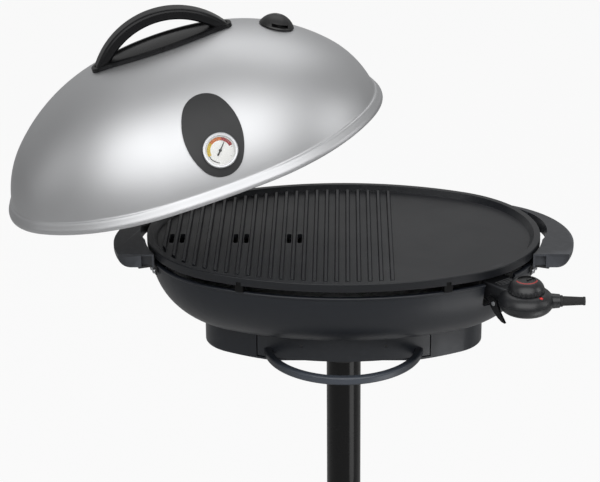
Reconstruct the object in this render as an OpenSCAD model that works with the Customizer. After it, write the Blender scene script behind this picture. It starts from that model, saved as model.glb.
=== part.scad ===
// Electric grill on a pole stand: oval ribbed plate, lift-off domed lid with a
// thermometer, plug-in thermostat, and a drip tray under the bowl.
// Millimetres, +Z up, front towards -Y, origin on the floor under the pole.

/* [Grill plate] */
// Half length of the grill plate over its rim
plate_a = 280.5; // [265:0.5:300]
// Half width of the grill plate over its rim
plate_b = 193.7; // [188:0.1:204]
// Radius of the plate's round ends
plate_end_r = 170; // [155:1:176]
// Height of the plate's rim top above the floor
rim_z = 860; // [760:5:920]
// Depth of the skirt round the plate
skirt_h = 12; // [9:0.5:16]
// Wall of the skirt
skirt_t = 4; // [3:0.5:6]
// Width of the flat top of the rim
rim_w = 9; // [7:0.5:12]
// Drop from the rim to the cooking surface
deck_drop = 8; // [6:0.5:10]
// Thickness of the cooking deck
deck_t = 6; // [4:0.5:7]
// Number of ribs on the deck
rib_n = 22; // [16:1:22]
// Distance from one rib to the next
rib_pitch = 15.2; // [13:0.1:15.5]
// Width of a rib at its foot
rib_w = 7; // [5:0.5:8]
// Height of a rib
rib_h = 4.5; // [3:0.5:5.5]
// Length of a grease slot
slot_l = 34; // [20:1:50]
// Width of a grease slot
slot_w = 6.6; // [4:0.2:7]

/* [Heating element] */
// Radius of the element tube
element_r = 4; // [3:0.25:4.5]
// Radius of the element's bends
element_bend = 85; // [70:1:100]
// Half distance between the two terminal pins
pin_y = 13; // [11:0.5:15]
// Radius of a terminal pin
pin_r = 2.2; // [1.8:0.1:2.6]
// Radius of the thermostat probe
probe_r = 3; // [2.5:0.25:3.5]

/* [Bowl] */
// Drop from the plate's rim top to the bowl's rim
bowl_drop = 22; // [20:0.5:26]
// How far the bowl's outline lies inside the plate's
bowl_inset = 5; // [3:0.5:8]
// Radius of the bowl's curved side
bowl_r = 95; // [85:1:100]
// Wall of the bowl
bowl_t = 3; // [2:0.5:4]
// Width of the notch for the thermostat plug
notch_w = 56; // [50:1:64]
// Depth of that notch below the bowl's rim
notch_h = 36; // [33:1:40]
// Radius of the drain hole in the bowl
drain_r = 20; // [12:1:26]
// Wall of the reflector liner
liner_t = 0.8; // [0.5:0.1:1.5]
// Height of the liner's upper edge above the bowl's floor
liner_h = 52; // [40:1:56]

/* [Foot ring] */
// Half length of the foot ring
foot_a = 200.5; // [190:0.5:206]
// Half width of the foot ring
foot_b = 99; // [92:0.5:106]
// Radius of the foot ring's ends
foot_end_r = 62; // [55:1:70]
// Wall of the foot ring
foot_t = 3; // [2.5:0.5:4]
// Height of the foot ring below the bowl's floor
foot_h = 45; // [40:1:55]
// Half width of the opening for the drip tray
tray_gap = 124; // [110:1:130]
// Radius of the tray's loop handle, at the middle of the bar
loop_r = 108; // [95:1:112]
// How far the loop's centre lies in front of the pole
loop_y = 67; // [60:1:74]
// Height of the loop's bar
loop_h = 12; // [8:0.5:14]
// Width of the loop's bar
loop_w = 11; // [8:0.5:14]

/* [Side handles] */
// Radius of a side handle's outer edge
wing_r = 150; // [140:1:158]
// Reach of a side handle from the middle
wing_reach = 326; // [320:1:335]
// How far the handle's middle lies to the front
wing_shift = 22; // [15:1:28]
// How far the handle's straight front face lies to the front
wing_front = 78; // [65:1:90]
// Thickness of a side handle
wing_t = 20; // [16:0.5:24]
// Radius of the finger slot's outer side
finger_r = 100; // [92:1:104]

/* [Stand] */
// Outer diameter of the pole
pole_d = 50; // [40:1:56]
// Wall of the pole
pole_t = 1.5; // [1:0.1:3]
// Height of the joint between the two pole tubes
pole_joint_z = 400; // [300:5:500]
// Radius of the floor base
base_r = 235; // [200:5:280]
// Height of the base cover's top at the collar
base_h = 40; // [34:1:60]
// Number of rubber feet
feet_n = 6; // [4:1:8]

/* [Lid] */
// Half length of the lid over its lip
lid_a = 280; // [278:0.5:280]
// Half width of the lid over its lip
lid_b = 190; // [188:0.5:191]
// Radius of the lid's ends
lid_end_r = 150; // [146:1:152]
// Height of the dome above the plate's rim
lid_h = 174; // [150:1:200]
// Radius of the dome across its middle
dome_r = 186; // [184:0.5:188]
// Wall of the lid
lid_t = 2; // [1.5:0.1:3]
// Height of the lip round the lid
lip_h = 17; // [14:0.5:22]
// Width that the lip stands out from the dome
lip_w = 8; // [6:0.5:10]
// Angle that the lid is lifted and turned from its closed place
lift_angle = 20.5; // [20.5:0.5:21]

/* [Lid fittings] */
// Outer radius of the handle's arch
arch_r = 117; // [105:1:125]
// Half length of the handle's foot
arch_foot = 103; // [95:1:108]
// Half width of the handle's foot
foot_plate_b = 33; // [28:0.5:40]
// Height of the arch's bar
arch_h = 16; // [12:0.5:20]
// Width of the arch's bar
arch_w = 26; // [20:0.5:30]
// Radius of the thermometer's bezel
gauge_r = 24.5; // [20:0.5:28]
// Place of the thermometer along the lid
gauge_x = 22; // [0:1:30]
// Radius of the vent cap
vent_r = 25; // [20:0.5:28]
// Place of the vent cap along the lid
vent_x = 163; // [150:1:180]

/* [Thermostat plug] */
// Direction of the plug round the plate's end, below the X axis
plug_turn = 50; // [48:1:54]
// Depth of the plug's axis below the plate's rim
plug_drop = 36; // [35:0.5:38]
// Distance from the plate's outline to the knob's axis
knob_out = 45; // [43:1:50]
// Radius of the plug's round body
plug_r = 38; // [36:0.5:42]
// Radius of the control knob
knob_r = 25.5; // [22:0.5:28]
// Height of the control knob
knob_h = 17; // [13:0.5:20]
// Wall of the plug's shells
plug_t = 2; // [1.5:0.1:2.5]

/* [Fits] */
// Clearance of parts that slide or turn in each other
fit = 0.3; // [0.2:0.05:0.5]
// Gap between shells that meet at a joint line
seam = 0.3; // [0.2:0.05:0.5]

/* [Hidden] */

function to_1000th(x) = round(1000 * x) / 1000;

// Four-arc ovals: two round ends joined by two long sides, which meet oval_turn() off the Y axis
function oval_turn(a, b, r) = to_1000th(2 * atan((b - r) / (a - r)));
function side_r(a, b, r) = to_1000th(r + (a - r) / sin(oval_turn(a, b, r)));
function side_y(a, b, r) = sqrt(pow(side_r(a, b, r) - r, 2) - (a - r) * (a - r));
plate_c = plate_a - plate_end_r;
plate_side_r = side_r(plate_a, plate_b, plate_end_r);
plate_side_y = side_y(plate_a, plate_b, plate_end_r);

// Grill plate
rim_round = 1.6;
rim_slope = 6;
deck_in = rim_w + rim_slope + 1;
deck_top = -deck_drop;
deck_bottom = -deck_drop - deck_t;
rib_in = deck_in + 3;
rib_top_w = 0.5 * rib_w;
rib_x0 = -(rib_n - 1) * rib_pitch / 2 - 93;
slot_y = -10;
slot_rows = [0, 1, 6, 7, 11, 12];
notch_nub_w = 7;
notch_nub_h = 5;
support_turn_side = to_1000th(0.785 * oval_turn(plate_a, plate_b, plate_end_r));
support_turn_end = 14;

// Bowl
lap = 3;
bowl_wall_r = plate_end_r - bowl_inset;
bowl_floor = -bowl_drop - 3 - bowl_r;
bowl_centre_z = -bowl_drop - 3;
bead_r = 2.2;
liner_gap = fit;
liner_r = bowl_r - bowl_t - liner_gap;

// Foot ring and tray
foot_top = bowl_floor + 10;
foot_bottom = bowl_floor - foot_h;
floor_t = 3;
rail_h = 3.7;
rail_x = tray_gap - 24;
rail_w = 8;
post_x = foot_a - 50.5;
post_y = 30;
post_r = 8;
screw_r = 2;
screw_hole_r = screw_r + 0.2;
head_r = 4;
head_h = 2.5;
tray_bottom = foot_bottom + floor_t + rail_h + fit;
tray_t = 1.5;
tray_half = tray_gap - 8;
tray_back = foot_b - 39;
tray_top = bowl_floor - 8;
front_t = 6.2;
front_half = tray_gap - 1.5;
front_top = bowl_floor - 1;
front_bottom = foot_bottom + floor_t + 2;
rivet_x = tray_gap / 2 - 2;

// Pole and base
flange_r = 55;
flange_t = 4;
flange_bolt_r = 44;
socket_wall = 5;
socket_l = 26;
pole_r = pole_d / 2;
pole_top = rim_z + foot_bottom - flange_t - fit;
collar_ring_h = 6;
coupler_l = 60;
feet_h = 8;
feet_r = 14;
feet_ring_r = base_r - 32;
cover_t = 3;
cover_edge_h = 10;
cover_z = feet_h;
base_plate_t = 2;
weight_z = feet_h + base_plate_t;
weight_h = 0.4 * base_h - 2.6;
weight_r = base_r - 75;
collar_h = 60;
plug_h = 20;
pole_seat = feet_h + base_plate_t + weight_h + fit;
bolt_r = 4;
bolt_head_r = 9;
bolt_head_h = 5;

// Side handles
wing_top = -4;
wing_bottom = wing_top - wing_t;
wing_gap = 3;
wing_cx = wing_reach - wing_r;
finger_cx = plate_a - 88.5;
finger_cy = 20;
wing_edge_r = 16;
bracket_front = -20;
bracket_back = 22;
bracket_w = 22;
bracket_t = 3;
bracket_drop = bowl_drop - 6;
bracket_step_z = -bowl_drop - 2 * bead_r - fit;
bracket_web_x = bowl_wall_r + bead_r + 0.4;
bracket_screw_z = wing_bottom - bracket_drop + 5;
bracket_screw_y = 6;
bracket_screw_front = plate_end_r + 14;
bracket_screw_back = plate_end_r + 20;
screw_reach = 14;

// Lid: its plan and its long section are ovals of a tight end, a shoulder and a long side in each quarter
end_to = 40;
side_from = 85;
function k_side(t) = 1 / cos(t) - tan(t);
function shoulder_r(a, b, r, t) = (b - r * sin(t) - k_side(side_from) * (a - r + r * cos(t)))
  / (1 - sin(t) - k_side(side_from) * cos(t));
function shoulder_c(a, r, r2, t) = [a - r + (r - r2) * cos(t), (r - r2) * sin(t)];
lip_gap = 0.5;
lip_r2 = shoulder_r(lid_a, lid_b, lid_end_r, end_to);
lip_c2 = shoulder_c(lid_a, lid_end_r, lip_r2, end_to);
lip_r3 = lip_r2 + lip_c2[0] / cos(side_from);
dome_axis_z = lid_h - dome_r;
dome_a = lid_a - 5.5;
dome_end_r = lid_end_r - 2;
dome_end_to = 44;
dome_r2 = to_1000th(shoulder_r(dome_a, dome_r, dome_end_r, dome_end_to));
dome_c2 = shoulder_c(dome_a, dome_end_r, dome_r2, dome_end_to);
dome_r3 = to_1000th(dome_r2 + dome_c2[0] / cos(side_from));
dome_c3 = dome_c2[1] - sqrt(pow(dome_r3 - dome_r2, 2) - dome_c2[0] * dome_c2[0]);
function dome_top(x) = dome_axis_z + (x < dome_r3 * cos(side_from)
  ? dome_c3 + sqrt(dome_r3 * dome_r3 - x * x)
  : dome_c2[1] + sqrt(dome_r2 * dome_r2 - (x - dome_c2[0]) * (x - dome_c2[0])));
lift_tilt = 39.6;
lift_turn = 10.1;
lift_axis = [sin(lift_turn) * cos(lift_tilt), -cos(lift_turn) * cos(lift_tilt), sin(lift_tilt)];
lift_pivot = [-472, 0, -696];
handle_screw_x = arch_foot - 23;
lid_bore = 60;
arch_z = lid_h + 48.5 - arch_r;
foot_rise = 5.7;
foot_dish = 3;
foot_edge = 5;

// Place of a fitting on the front of the dome, from the angle its face looks up
function dome_front(x, up) = let(r = dome_top(x) - dome_axis_z) [x, -r * cos(up), dome_axis_z + r * sin(up)];
gauge_up = 23.4;
gauge_plate_up = 30.8;
gauge_plate_a = 59;
gauge_plate_b = 40;
gauge_plate_t = 3.2;
gauge_can_r = gauge_r - 2.2;
gauge_face_r = gauge_r - 4;
gauge_h = 8;
stem_r = 3;
stem_l = 40;
vent_tilt = asin((vent_x - dome_c2[0]) / dome_r2);
vent_h = 16;
vent_ball_r = (vent_r * vent_r + vent_h * vent_h) / (2 * vent_h);
vent_hole_r = 5;
vent_floor = 2;
vent_room_h = vent_h - 10;
vent_head_r = 4;
vent_head_h = 1.4;
vent_sink = 2;
vent_hole_ring = 13;

// Thermostat plug, along X from the centre of the plate's end
plug_z = -plug_drop;
knob_x = plate_end_r + knob_out;
plug_rim_r = 15;
neck_w = 40;
neck_h = 27;
neck_r = 4;
neck_x = plate_end_r - 20;
plug_top_z = plug_z - 1 + plug_rim_r;
pin_out = plate_end_r - 6;
block_x = plate_end_r - 58;
leg_bend = 12;
block_l = 34;
block_w = 46;
block_bottom = plug_z - 14;
sleeve_r = 4;
probe_x = plate_end_r - 70;
switch_x = knob_x - 17;
tail_r = 8;
tail_x = 46;
case_h = 4 * plug_rim_r;
relief_l = 35;
cord_hole_r = 3.4;
lever_y = -25;
lever_t = 4;
lever_x = plate_end_r + 10;
lever_z = plug_z - 9;
lever_pin_r = 1.8;
boss_y = 25;
plug_screw_r = 1.5;
plug_seat = 13.5;
lens_x = knob_x + 28.5;
lens_r = 2.8;
knob_z = plug_top_z + 0.5;
knob_edge_r = knob_h;
knob_face_r = knob_r - knob_h + 4;

// --- Shared forms ---

// A long shift, made in steps of few digits each so that sectors drawn apart meet exactly
module shift(v) {
  whole = [for (x = v) round(x)];
  part = [for (x = v - whole) to_1000th(x)];
  translate(whole) translate(part) translate(v - whole - part) children();
}

module oval_2d(a, b, r, inset = 0) {
  c = a - r;
  big = side_r(a, b, r);
  d = side_y(a, b, r);
  reach = c + (r - inset) * c / (big - r);
  for (s = [-1, 1]) translate([s * c, 0]) circle(r = r - inset, $fn = 144);
  intersection() {
    shift([0, -d]) circle(r = big - inset, $fn = 360);
    shift([0, d]) circle(r = big - inset, $fn = 360);
    square([2 * reach, 2 * b], center = true);
  }
}

// Sweeps a profile round the oval: x is measured outwards from the outline
module oval_sweep(a, b, r) {
  c = a - r;
  turn = oval_turn(a, b, r);
  for (s = [0, 180]) rotate([0, 0, s]) {
    translate([c, 0, 0]) rotate_extrude(start = turn - 90, angle = 180 - 2 * turn, $fn = 144)
      translate([r, 0]) children();
    shift([0, -c / tan(turn), 0]) rotate_extrude(start = 90 - turn, angle = 2 * turn, $fn = 360)
      shift([r + c / sin(turn), 0]) children();
  }
}

module plate_oval_2d(inset = 0) { oval_2d(plate_a, plate_b, plate_end_r, inset); }
module foot_oval_2d(inset = 0) { oval_2d(foot_a, foot_b, foot_end_r, inset); }

module rounded_2d(w, h, r) {
  square([w - 2 * r, h], center = true);
  square([w, h - 2 * r], center = true);
  for (x = [-1, 1], y = [-1, 1]) translate([x * (w / 2 - r), y * (h / 2 - r)]) circle(r = r, $fn = 32);
}

module at_rim() { translate([0, 0, rim_z]) children(); }
module on_end(turn) { translate([plate_c, 0, 0]) rotate([0, 0, turn]) children(); }
module on_back(turn) { shift([0, -plate_side_y, 0]) rotate([0, 0, 90 + turn]) children(); }
module both_ends() { for (m = [0, 1]) mirror([m, 0, 0]) children(); }
module at_plug() { at_rim() on_end(-plug_turn) children(); }
module bar_x(x0, x1, r, fn = 32) {
  translate([x0, 0, 0]) rotate([0, 90, 0]) cylinder(h = x1 - x0, r = r, $fn = fn);
}

// Screw standing on z = 0 with its head below
module screw(l, r = screw_r, hr = head_r, hh = head_h) {
  cylinder(h = l, r = r, $fn = 32);
  translate([0, 0, -hh]) difference() {
    cylinder(h = hh, r = hr, $fn = 40);
    translate([0, 0, -1]) cylinder(h = 1 + 0.5 * hh, r = 0.5 * hr, $fn = 6);
  }
}

// --- Bowl and foot ---

// Quarter turn of the bowl's side, with a short flat of the floor that the floor piece laps
module bowl_profile(r0, r1) {
  difference() {
    intersection() {
      translate([-bowl_r, bowl_centre_z]) circle(r = r0, $fn = 180);
      translate([-bowl_r, bowl_centre_z - r0 - 1]) square([r0 + 1, r0 + 1]);
    }
    translate([-bowl_r, bowl_centre_z]) circle(r = r1, $fn = 180);
  }
  translate([-bowl_r - lap, bowl_centre_z - r0]) square([lap, r0 - r1]);
}

module bowl_floor_2d() { plate_oval_2d(bowl_inset + bowl_r + lap / 2); }

module base_bowl() color("#3b3d41") at_rim() difference() {
  union() {
    oval_sweep(plate_a - bowl_inset, plate_b - bowl_inset, bowl_wall_r) union() {
      bowl_profile(bowl_r, bowl_r - bowl_t);
      translate([-bowl_t, bowl_centre_z]) square([bowl_t, -bowl_drop - bowl_centre_z]);
      intersection() {
        translate([0, -bowl_drop - bead_r]) circle(r = bead_r, $fn = 40);
        translate([-0.5 * bowl_t, -bowl_drop - 2 * bead_r]) square([bowl_t + bead_r, 2 * bead_r]);
      }
    }
    translate([0, 0, bowl_floor]) linear_extrude(bowl_t) bowl_floor_2d();
  }
  translate([0, 0, bowl_floor - 1]) cylinder(h = bowl_t + 2, r = drain_r, $fn = 72);
  for (x = [-1, 1], y = [-1, 1]) translate([x * post_x, y * post_y, bowl_floor - 1])
    cylinder(h = bowl_t + 2, r = screw_hole_r, $fn = 32);
  on_end(-plug_turn) translate([neck_x - 20, 0, -bowl_drop - 0.5 * notch_h + 10]) rotate([90, 0, 90])
    linear_extrude(60) rounded_2d(notch_w, notch_h + 20, 8);
  both_ends() for (a = [bracket_front, bracket_back], s = [-1, 1]) on_end(a)
    translate([bowl_wall_r - screw_reach, s * bracket_screw_y, bracket_screw_z])
      bar_x(0, screw_reach + 2, screw_hole_r);
}

module reflector_liner() color("#b9bcc0") at_rim() difference() {
  union() {
    oval_sweep(plate_a - bowl_inset, plate_b - bowl_inset, bowl_wall_r) intersection() {
      bowl_profile(liner_r, liner_r - liner_t);
      translate([-bowl_r - lap, bowl_floor]) square([bowl_r + lap, liner_h]);
    }
    translate([0, 0, bowl_centre_z - liner_r]) linear_extrude(liner_t) bowl_floor_2d();
  }
  translate([0, 0, bowl_floor - 1]) cylinder(h = 10, r = drain_r, $fn = 72);
}

module foot_ring() color("#37393d") at_rim() difference() {
  union() {
    difference() {
      translate([0, 0, foot_bottom]) linear_extrude(foot_top - foot_bottom) difference() {
        foot_oval_2d();
        foot_oval_2d(foot_t);
      }
      oval_sweep(plate_a - bowl_inset, plate_b - bowl_inset, bowl_wall_r) intersection() {
        translate([-bowl_r, bowl_centre_z]) circle(r = bowl_r + fit, $fn = 180);
        translate([-bowl_r - lap, bowl_floor - fit - 1]) square([bowl_r, 40]);
      }
    }
    translate([0, 0, foot_bottom]) linear_extrude(floor_t) foot_oval_2d(foot_t);
    for (x = [-1, 1]) translate([x * rail_x - rail_w / 2, -foot_b + 30, foot_bottom + floor_t])
      cube([rail_w, foot_b - 30 + tray_back, rail_h]);
    for (x = [-1, 1], y = [-1, 1]) translate([x * post_x, y * post_y, foot_bottom + floor_t])
      cylinder(h = foot_h - floor_t - fit, r = post_r, $fn = 48);
  }
  translate([-tray_gap, -foot_b - 10, foot_bottom - 1]) cube([2 * tray_gap, 25, foot_h + 20]);
  translate([-tray_gap, -foot_b - 10, foot_bottom + floor_t]) cube([2 * tray_gap, 60, foot_h + 20]);
  for (x = [-1, 1], y = [-1, 1]) translate([x * post_x, y * post_y, foot_bottom - 1])
    cylinder(h = foot_h + 2, r = screw_hole_r, $fn = 32);
  for (a = [45 : 90 : 315]) rotate([0, 0, a]) translate([flange_bolt_r, 0, foot_bottom - 1])
    cylinder(h = floor_t + 2, r = screw_hole_r, $fn = 32);
}

module foot_screws() color("#8d9094") at_rim()
  for (x = [-1, 1], y = [-1, 1]) translate([x * post_x, y * post_y, foot_bottom])
    screw(foot_h + bowl_t - 0.5);

// --- Drip tray ---

module tray_2d(inset) {
  intersection() {
    foot_oval_2d(front_t + fit + inset);
    translate([-tray_half + inset, -foot_b]) square([2 * (tray_half - inset), foot_b + tray_back - inset]);
  }
}

module drip_tray() color("#9a9da1") at_rim() difference() {
  translate([0, 0, tray_bottom]) linear_extrude(tray_top - tray_bottom) tray_2d(0);
  translate([0, 0, tray_bottom + tray_t]) linear_extrude(60) tray_2d(tray_t);
  tray_rivet_holes();
}

module tray_rivet_holes() {
  for (x = [-1, 1]) translate([x * rivet_x, 0, tray_top - 10]) rotate([90, 0, 0])
    cylinder(h = foot_b + 20, r = screw_hole_r, $fn = 32);
}

module tray_front() color("#3b3d41") at_rim() difference() {
  union() {
    translate([0, 0, front_bottom]) linear_extrude(front_top - front_bottom) intersection() {
      difference() {
        foot_oval_2d();
        foot_oval_2d(front_t);
      }
      translate([-front_half, -foot_b - 1]) square([2 * front_half, 0.6 * foot_b]);
    }
    difference() {
      translate([0, -loop_y, front_bottom + loop_h / 2 + 2]) rotate([0, 0, 180])
        rotate_extrude(angle = 180, $fn = 144) translate([loop_r, 0]) rounded_2d(loop_w, loop_h, 3.5);
      translate([0, 0, front_bottom - 1]) linear_extrude(60) foot_oval_2d(1.5);
    }
  }
  tray_rivet_holes();
}

module tray_rivets() color("#8d9094") at_rim() for (x = [-1, 1])
  translate([x * rivet_x, -foot_b - 1 + rivet_sag, tray_top - 10]) rotate([-90, 0, 0])
    cylinder(h = front_t + tray_t + 4, r = screw_r, $fn = 32);
rivet_sag = foot_b + 1.5 + side_y(foot_a, foot_b, foot_end_r)
  - sqrt(pow(side_r(foot_a, foot_b, foot_end_r), 2) - rivet_x * rivet_x);

// --- Pole and stand ---

module pole_socket() color("#2b2c2f") at_rim() difference() {
  union() {
    translate([0, 0, foot_bottom - flange_t]) cylinder(h = flange_t, r = flange_r, $fn = 96);
    translate([0, 0, foot_bottom - flange_t - socket_l])
      cylinder(h = socket_l, r = pole_r + socket_wall, $fn = 96);
  }
  translate([0, 0, foot_bottom - flange_t - socket_l - 1])
    cylinder(h = socket_l + 1, r = pole_r + fit, $fn = 96);
  for (a = [45 : 90 : 315]) rotate([0, 0, a]) translate([flange_bolt_r, 0, foot_bottom - flange_t - 1])
    cylinder(h = flange_t + 2, r = screw_hole_r, $fn = 32);
  translate([0, 0, foot_bottom - flange_t - socket_l / 2]) bar_x(-50, 50, screw_hole_r);
}

module socket_screws() color("#8d9094") at_rim() for (a = [45 : 90 : 315])
  rotate([0, 0, a]) translate([flange_bolt_r, 0, foot_bottom - flange_t]) screw(flange_t + floor_t + 1);

module pole_screws() color("#8d9094") at_rim() for (s = [0, 180]) rotate([0, 0, s])
  translate([pole_r + socket_wall, 0, foot_bottom - flange_t - socket_l / 2]) rotate([0, -90, 0])
    screw(socket_wall + pole_t + 3);

module pole_tube(z0, z1) {
  difference() {
    translate([0, 0, z0]) cylinder(h = z1 - z0, r = pole_r, $fn = 120);
    translate([0, 0, z0 - 1]) cylinder(h = z1 - z0 + 2, r = pole_r - pole_t, $fn = 120);
  }
}

module pole_upper() color("#17181a") difference() {
  pole_tube(pole_joint_z + collar_ring_h, pole_top);
  at_rim() translate([0, 0, foot_bottom - flange_t - socket_l / 2]) bar_x(-50, 50, screw_hole_r);
}

module pole_lower() color("#17181a") pole_tube(pole_seat, pole_joint_z);

module pole_coupler() color("#232427") difference() {
  union() {
    translate([0, 0, pole_joint_z]) cylinder(h = collar_ring_h, r = pole_r + 1.5, $fn = 120);
    translate([0, 0, pole_joint_z - coupler_l])
      cylinder(h = 2 * coupler_l, r = pole_r - pole_t - fit, $fn = 120);
  }
  translate([0, 0, pole_joint_z - coupler_l - 1])
    cylinder(h = 2 * coupler_l + 2, r = pole_r - pole_t - 4, $fn = 96);
}

module cover_form(shrink) {
  rotate_extrude($fn = 180) polygon([
    [0, cover_z - 1], [base_r - shrink, cover_z - 1],
    [base_r - shrink, cover_z + cover_edge_h - 0.5 * shrink],
    [base_r - 12 - shrink, cover_z + cover_edge_h + 5 - shrink],
    [90, base_h - 6 - shrink], [0, base_h + 2 - shrink]
  ]);
}

module base_cover() color("#1f2023") difference() {
  union() {
    difference() {
      cover_form(0);
      cover_form(cover_t);
    }
    translate([0, 0, weight_z + weight_h + fit])
      cylinder(h = base_h + collar_h - weight_z - weight_h, r = pole_r + 5, $fn = 96);
  }
  translate([0, 0, -10]) cylinder(h = 20 + base_h + collar_h, r = pole_r + fit, $fn = 120);
  translate([0, 0, -1]) cylinder(h = cover_z + 1, r = base_r + 10, $fn = 96);
}

module base_weight() color("#5a5c5f") translate([0, 0, weight_z]) difference() {
  cylinder(h = weight_h, r = weight_r, $fn = 180);
  translate([0, 0, -1]) cylinder(h = weight_h + 2, r = bolt_r + fit, $fn = 48);
}

module base_plate() color("#2a2b2e") translate([0, 0, feet_h]) difference() {
  cylinder(h = base_plate_t, r = base_r - cover_t - 1, $fn = 180);
  translate([0, 0, -1]) cylinder(h = base_plate_t + 2, r = bolt_r + fit, $fn = 48);
}

module base_bolt() color("#8d9094") translate([0, 0, feet_h])
  screw(base_plate_t + weight_h + plug_h - 2, bolt_r, bolt_head_r, bolt_head_h);

module pole_plug() color("#6c6f73") translate([0, 0, pole_seat]) difference() {
  cylinder(h = plug_h, r = pole_r - pole_t - fit, $fn = 96);
  translate([0, 0, -1]) cylinder(h = plug_h + 2, r = bolt_r + 0.2, $fn = 48);
}

module rubber_feet() color("#111214") {
  rubber_ring();
  difference() {
    cylinder(h = feet_h, r = feet_r, $fn = 60);
    translate([0, 0, feet_h - bolt_head_h - fit]) cylinder(h = feet_h, r = bolt_head_r + fit, $fn = 48);
  }
}

module rubber_ring() for (i = [0 : feet_n - 1]) rotate([0, 0, 360 * i / feet_n + 30])
  translate([feet_ring_r, 0, 0]) rotate_extrude($fn = 60) polygon([
    [0, 0], [feet_r - 1.5, 0], [feet_r, 1.5], [feet_r - 1, feet_h], [0, feet_h]
  ]);

// --- Side handles ---

module wing_2d(edge, front, gap, finger) {
  difference() {
    intersection() {
      translate([wing_cx, -wing_shift]) circle(r = wing_r - edge, $fn = 180);
      translate([wing_cx, -wing_front + front]) square([2 * wing_r, 2 * wing_r]);
    }
    plate_oval_2d(-gap);
    translate([finger_cx, finger_cy]) circle(r = finger_r + finger, $fn = 144);
  }
}

// Thick disc with the round under edge, which the wing is cut from
module wing_disc() {
  translate([wing_cx, -wing_shift, wing_bottom]) rotate_extrude($fn = 180) {
    square([wing_r - wing_edge_r, 3 * wing_edge_r]);
    translate([0, wing_edge_r]) square([wing_r, 2 * wing_edge_r]);
    translate([wing_r - wing_edge_r, wing_edge_r]) circle(r = wing_edge_r, $fn = 72);
  }
}

module wing() at_rim() difference() {
  intersection() {
    wing_disc();
    translate([0, 0, wing_bottom - 1]) linear_extrude(wing_t + 1) wing_2d(-1, 0, wing_gap, 0);
  }
  translate([0, 0, wing_bottom - 1]) linear_extrude(wing_t - 4) wing_2d(22, 8, wing_gap + 22, 14);
  translate([plate_a - 12.5, -wing_front - 1, wing_bottom - 1]) cube([15, 9, wing_t - 2]);
  on_end(bracket_front) translate([bracket_screw_front, 0, wing_bottom - 1])
    cylinder(h = 12, r = screw_hole_r, $fn = 32);
  on_end(bracket_back) translate([bracket_screw_back, 0, wing_bottom - 1])
    cylinder(h = 12, r = screw_hole_r, $fn = 32);
}

module right_handle() color("#45474b") wing();
module left_handle() color("#45474b") mirror([1, 0, 0]) wing();

// Leg down the bowl's wall, a step out under the bead, a web up past it and a flange under the handle
module bracket(turn, screw_x, end_x) on_end(turn) difference() {
  union() {
    intersection() {
      translate([0, 0, wing_bottom - bracket_drop]) difference() {
        cylinder(h = bracket_drop, r = bowl_wall_r + bracket_t, $fn = 288);
        translate([0, 0, -1]) cylinder(h = bracket_drop + 2, r = bowl_wall_r + fit, $fn = 288);
      }
      translate([0, -bracket_w / 2, wing_bottom - bracket_drop - 1])
        cube([2 * bowl_wall_r, bracket_w, bracket_step_z - wing_bottom + bracket_drop + 1]);
    }
    translate([bowl_wall_r + 1, -bracket_w / 2, bracket_step_z - bracket_t])
      cube([bracket_web_x + bracket_t - bowl_wall_r - 1, bracket_w, bracket_t]);
    translate([bracket_web_x, -bracket_w / 2, bracket_step_z - bracket_t])
      cube([bracket_t, bracket_w, wing_bottom - bracket_step_z + bracket_t]);
    translate([bracket_web_x, -bracket_w / 2, wing_bottom - bracket_t])
      cube([end_x - bracket_web_x, bracket_w, bracket_t]);
  }
  translate([screw_x, 0, wing_bottom - bracket_t - 1])
    cylinder(h = bracket_t + 2, r = screw_hole_r, $fn = 32);
  for (s = [-1, 1]) translate([bowl_wall_r - screw_reach, s * bracket_screw_y, bracket_screw_z])
    bar_x(0, 2 * screw_reach, screw_hole_r);
}

module handle_brackets() color("#1b1c1e") at_rim() both_ends() {
  bracket(bracket_front, bracket_screw_front, bracket_screw_front + 8);
  bracket(bracket_back, bracket_screw_back, bracket_screw_back + 8);
}

module handle_screws() color("#8d9094") at_rim() both_ends() {
  on_end(bracket_front) translate([bracket_screw_front, 0, wing_bottom - bracket_t]) screw(12);
  on_end(bracket_back) translate([bracket_screw_back, 0, wing_bottom - bracket_t]) screw(12);
  for (a = [bracket_front, bracket_back], s = [-1, 1]) on_end(a)
    translate([bowl_wall_r + bracket_t, s * bracket_screw_y, bracket_screw_z]) rotate([0, -90, 0])
      screw(bracket_t + bowl_t + 3);
}

// Blocks on the bowl's rim that carry the plate and leave an air gap under it
module support(outline_r) {
  translate([outline_r - 9, -6, -bowl_drop]) cube([8, 12, bowl_drop - skirt_h - fit]);
  translate([outline_r - bowl_inset - bowl_t - 2.2 - fit, -6, -bowl_drop - 8]) cube([2.2, 12, 9]);
  translate([outline_r - 3.5, -notch_nub_w / 2 + fit, -skirt_h - fit - 1])
    cube([2.5, notch_nub_w - 2 * fit, notch_nub_h + 1 - fit]);
}

module plate_supports() color("#1b1c1e") at_rim() {
  both_ends() for (a = [-1, 1]) on_end(a * support_turn_end) support(plate_end_r);
  both_ends() for (m = [0, 1]) mirror([0, m, 0]) on_back(support_turn_side) support(plate_side_r);
}

module support_notch(outline_r) {
  translate([outline_r - 3.5 - fit, -notch_nub_w / 2, -skirt_h - 1]) cube([6, notch_nub_w, notch_nub_h + 1]);
}

// --- Grill plate and heating ---

module rib_2d() polygon([
  [-rib_w / 2, -0.5], [rib_w / 2, -0.5], [rib_top_w / 2, rib_h], [-rib_top_w / 2, rib_h]
]);

module slot_2d() {
  square([slot_w, slot_l - slot_w], center = true);
  for (s = [-1, 1]) translate([0, s * (slot_l - slot_w) / 2]) circle(d = slot_w, $fn = 32);
}

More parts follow.
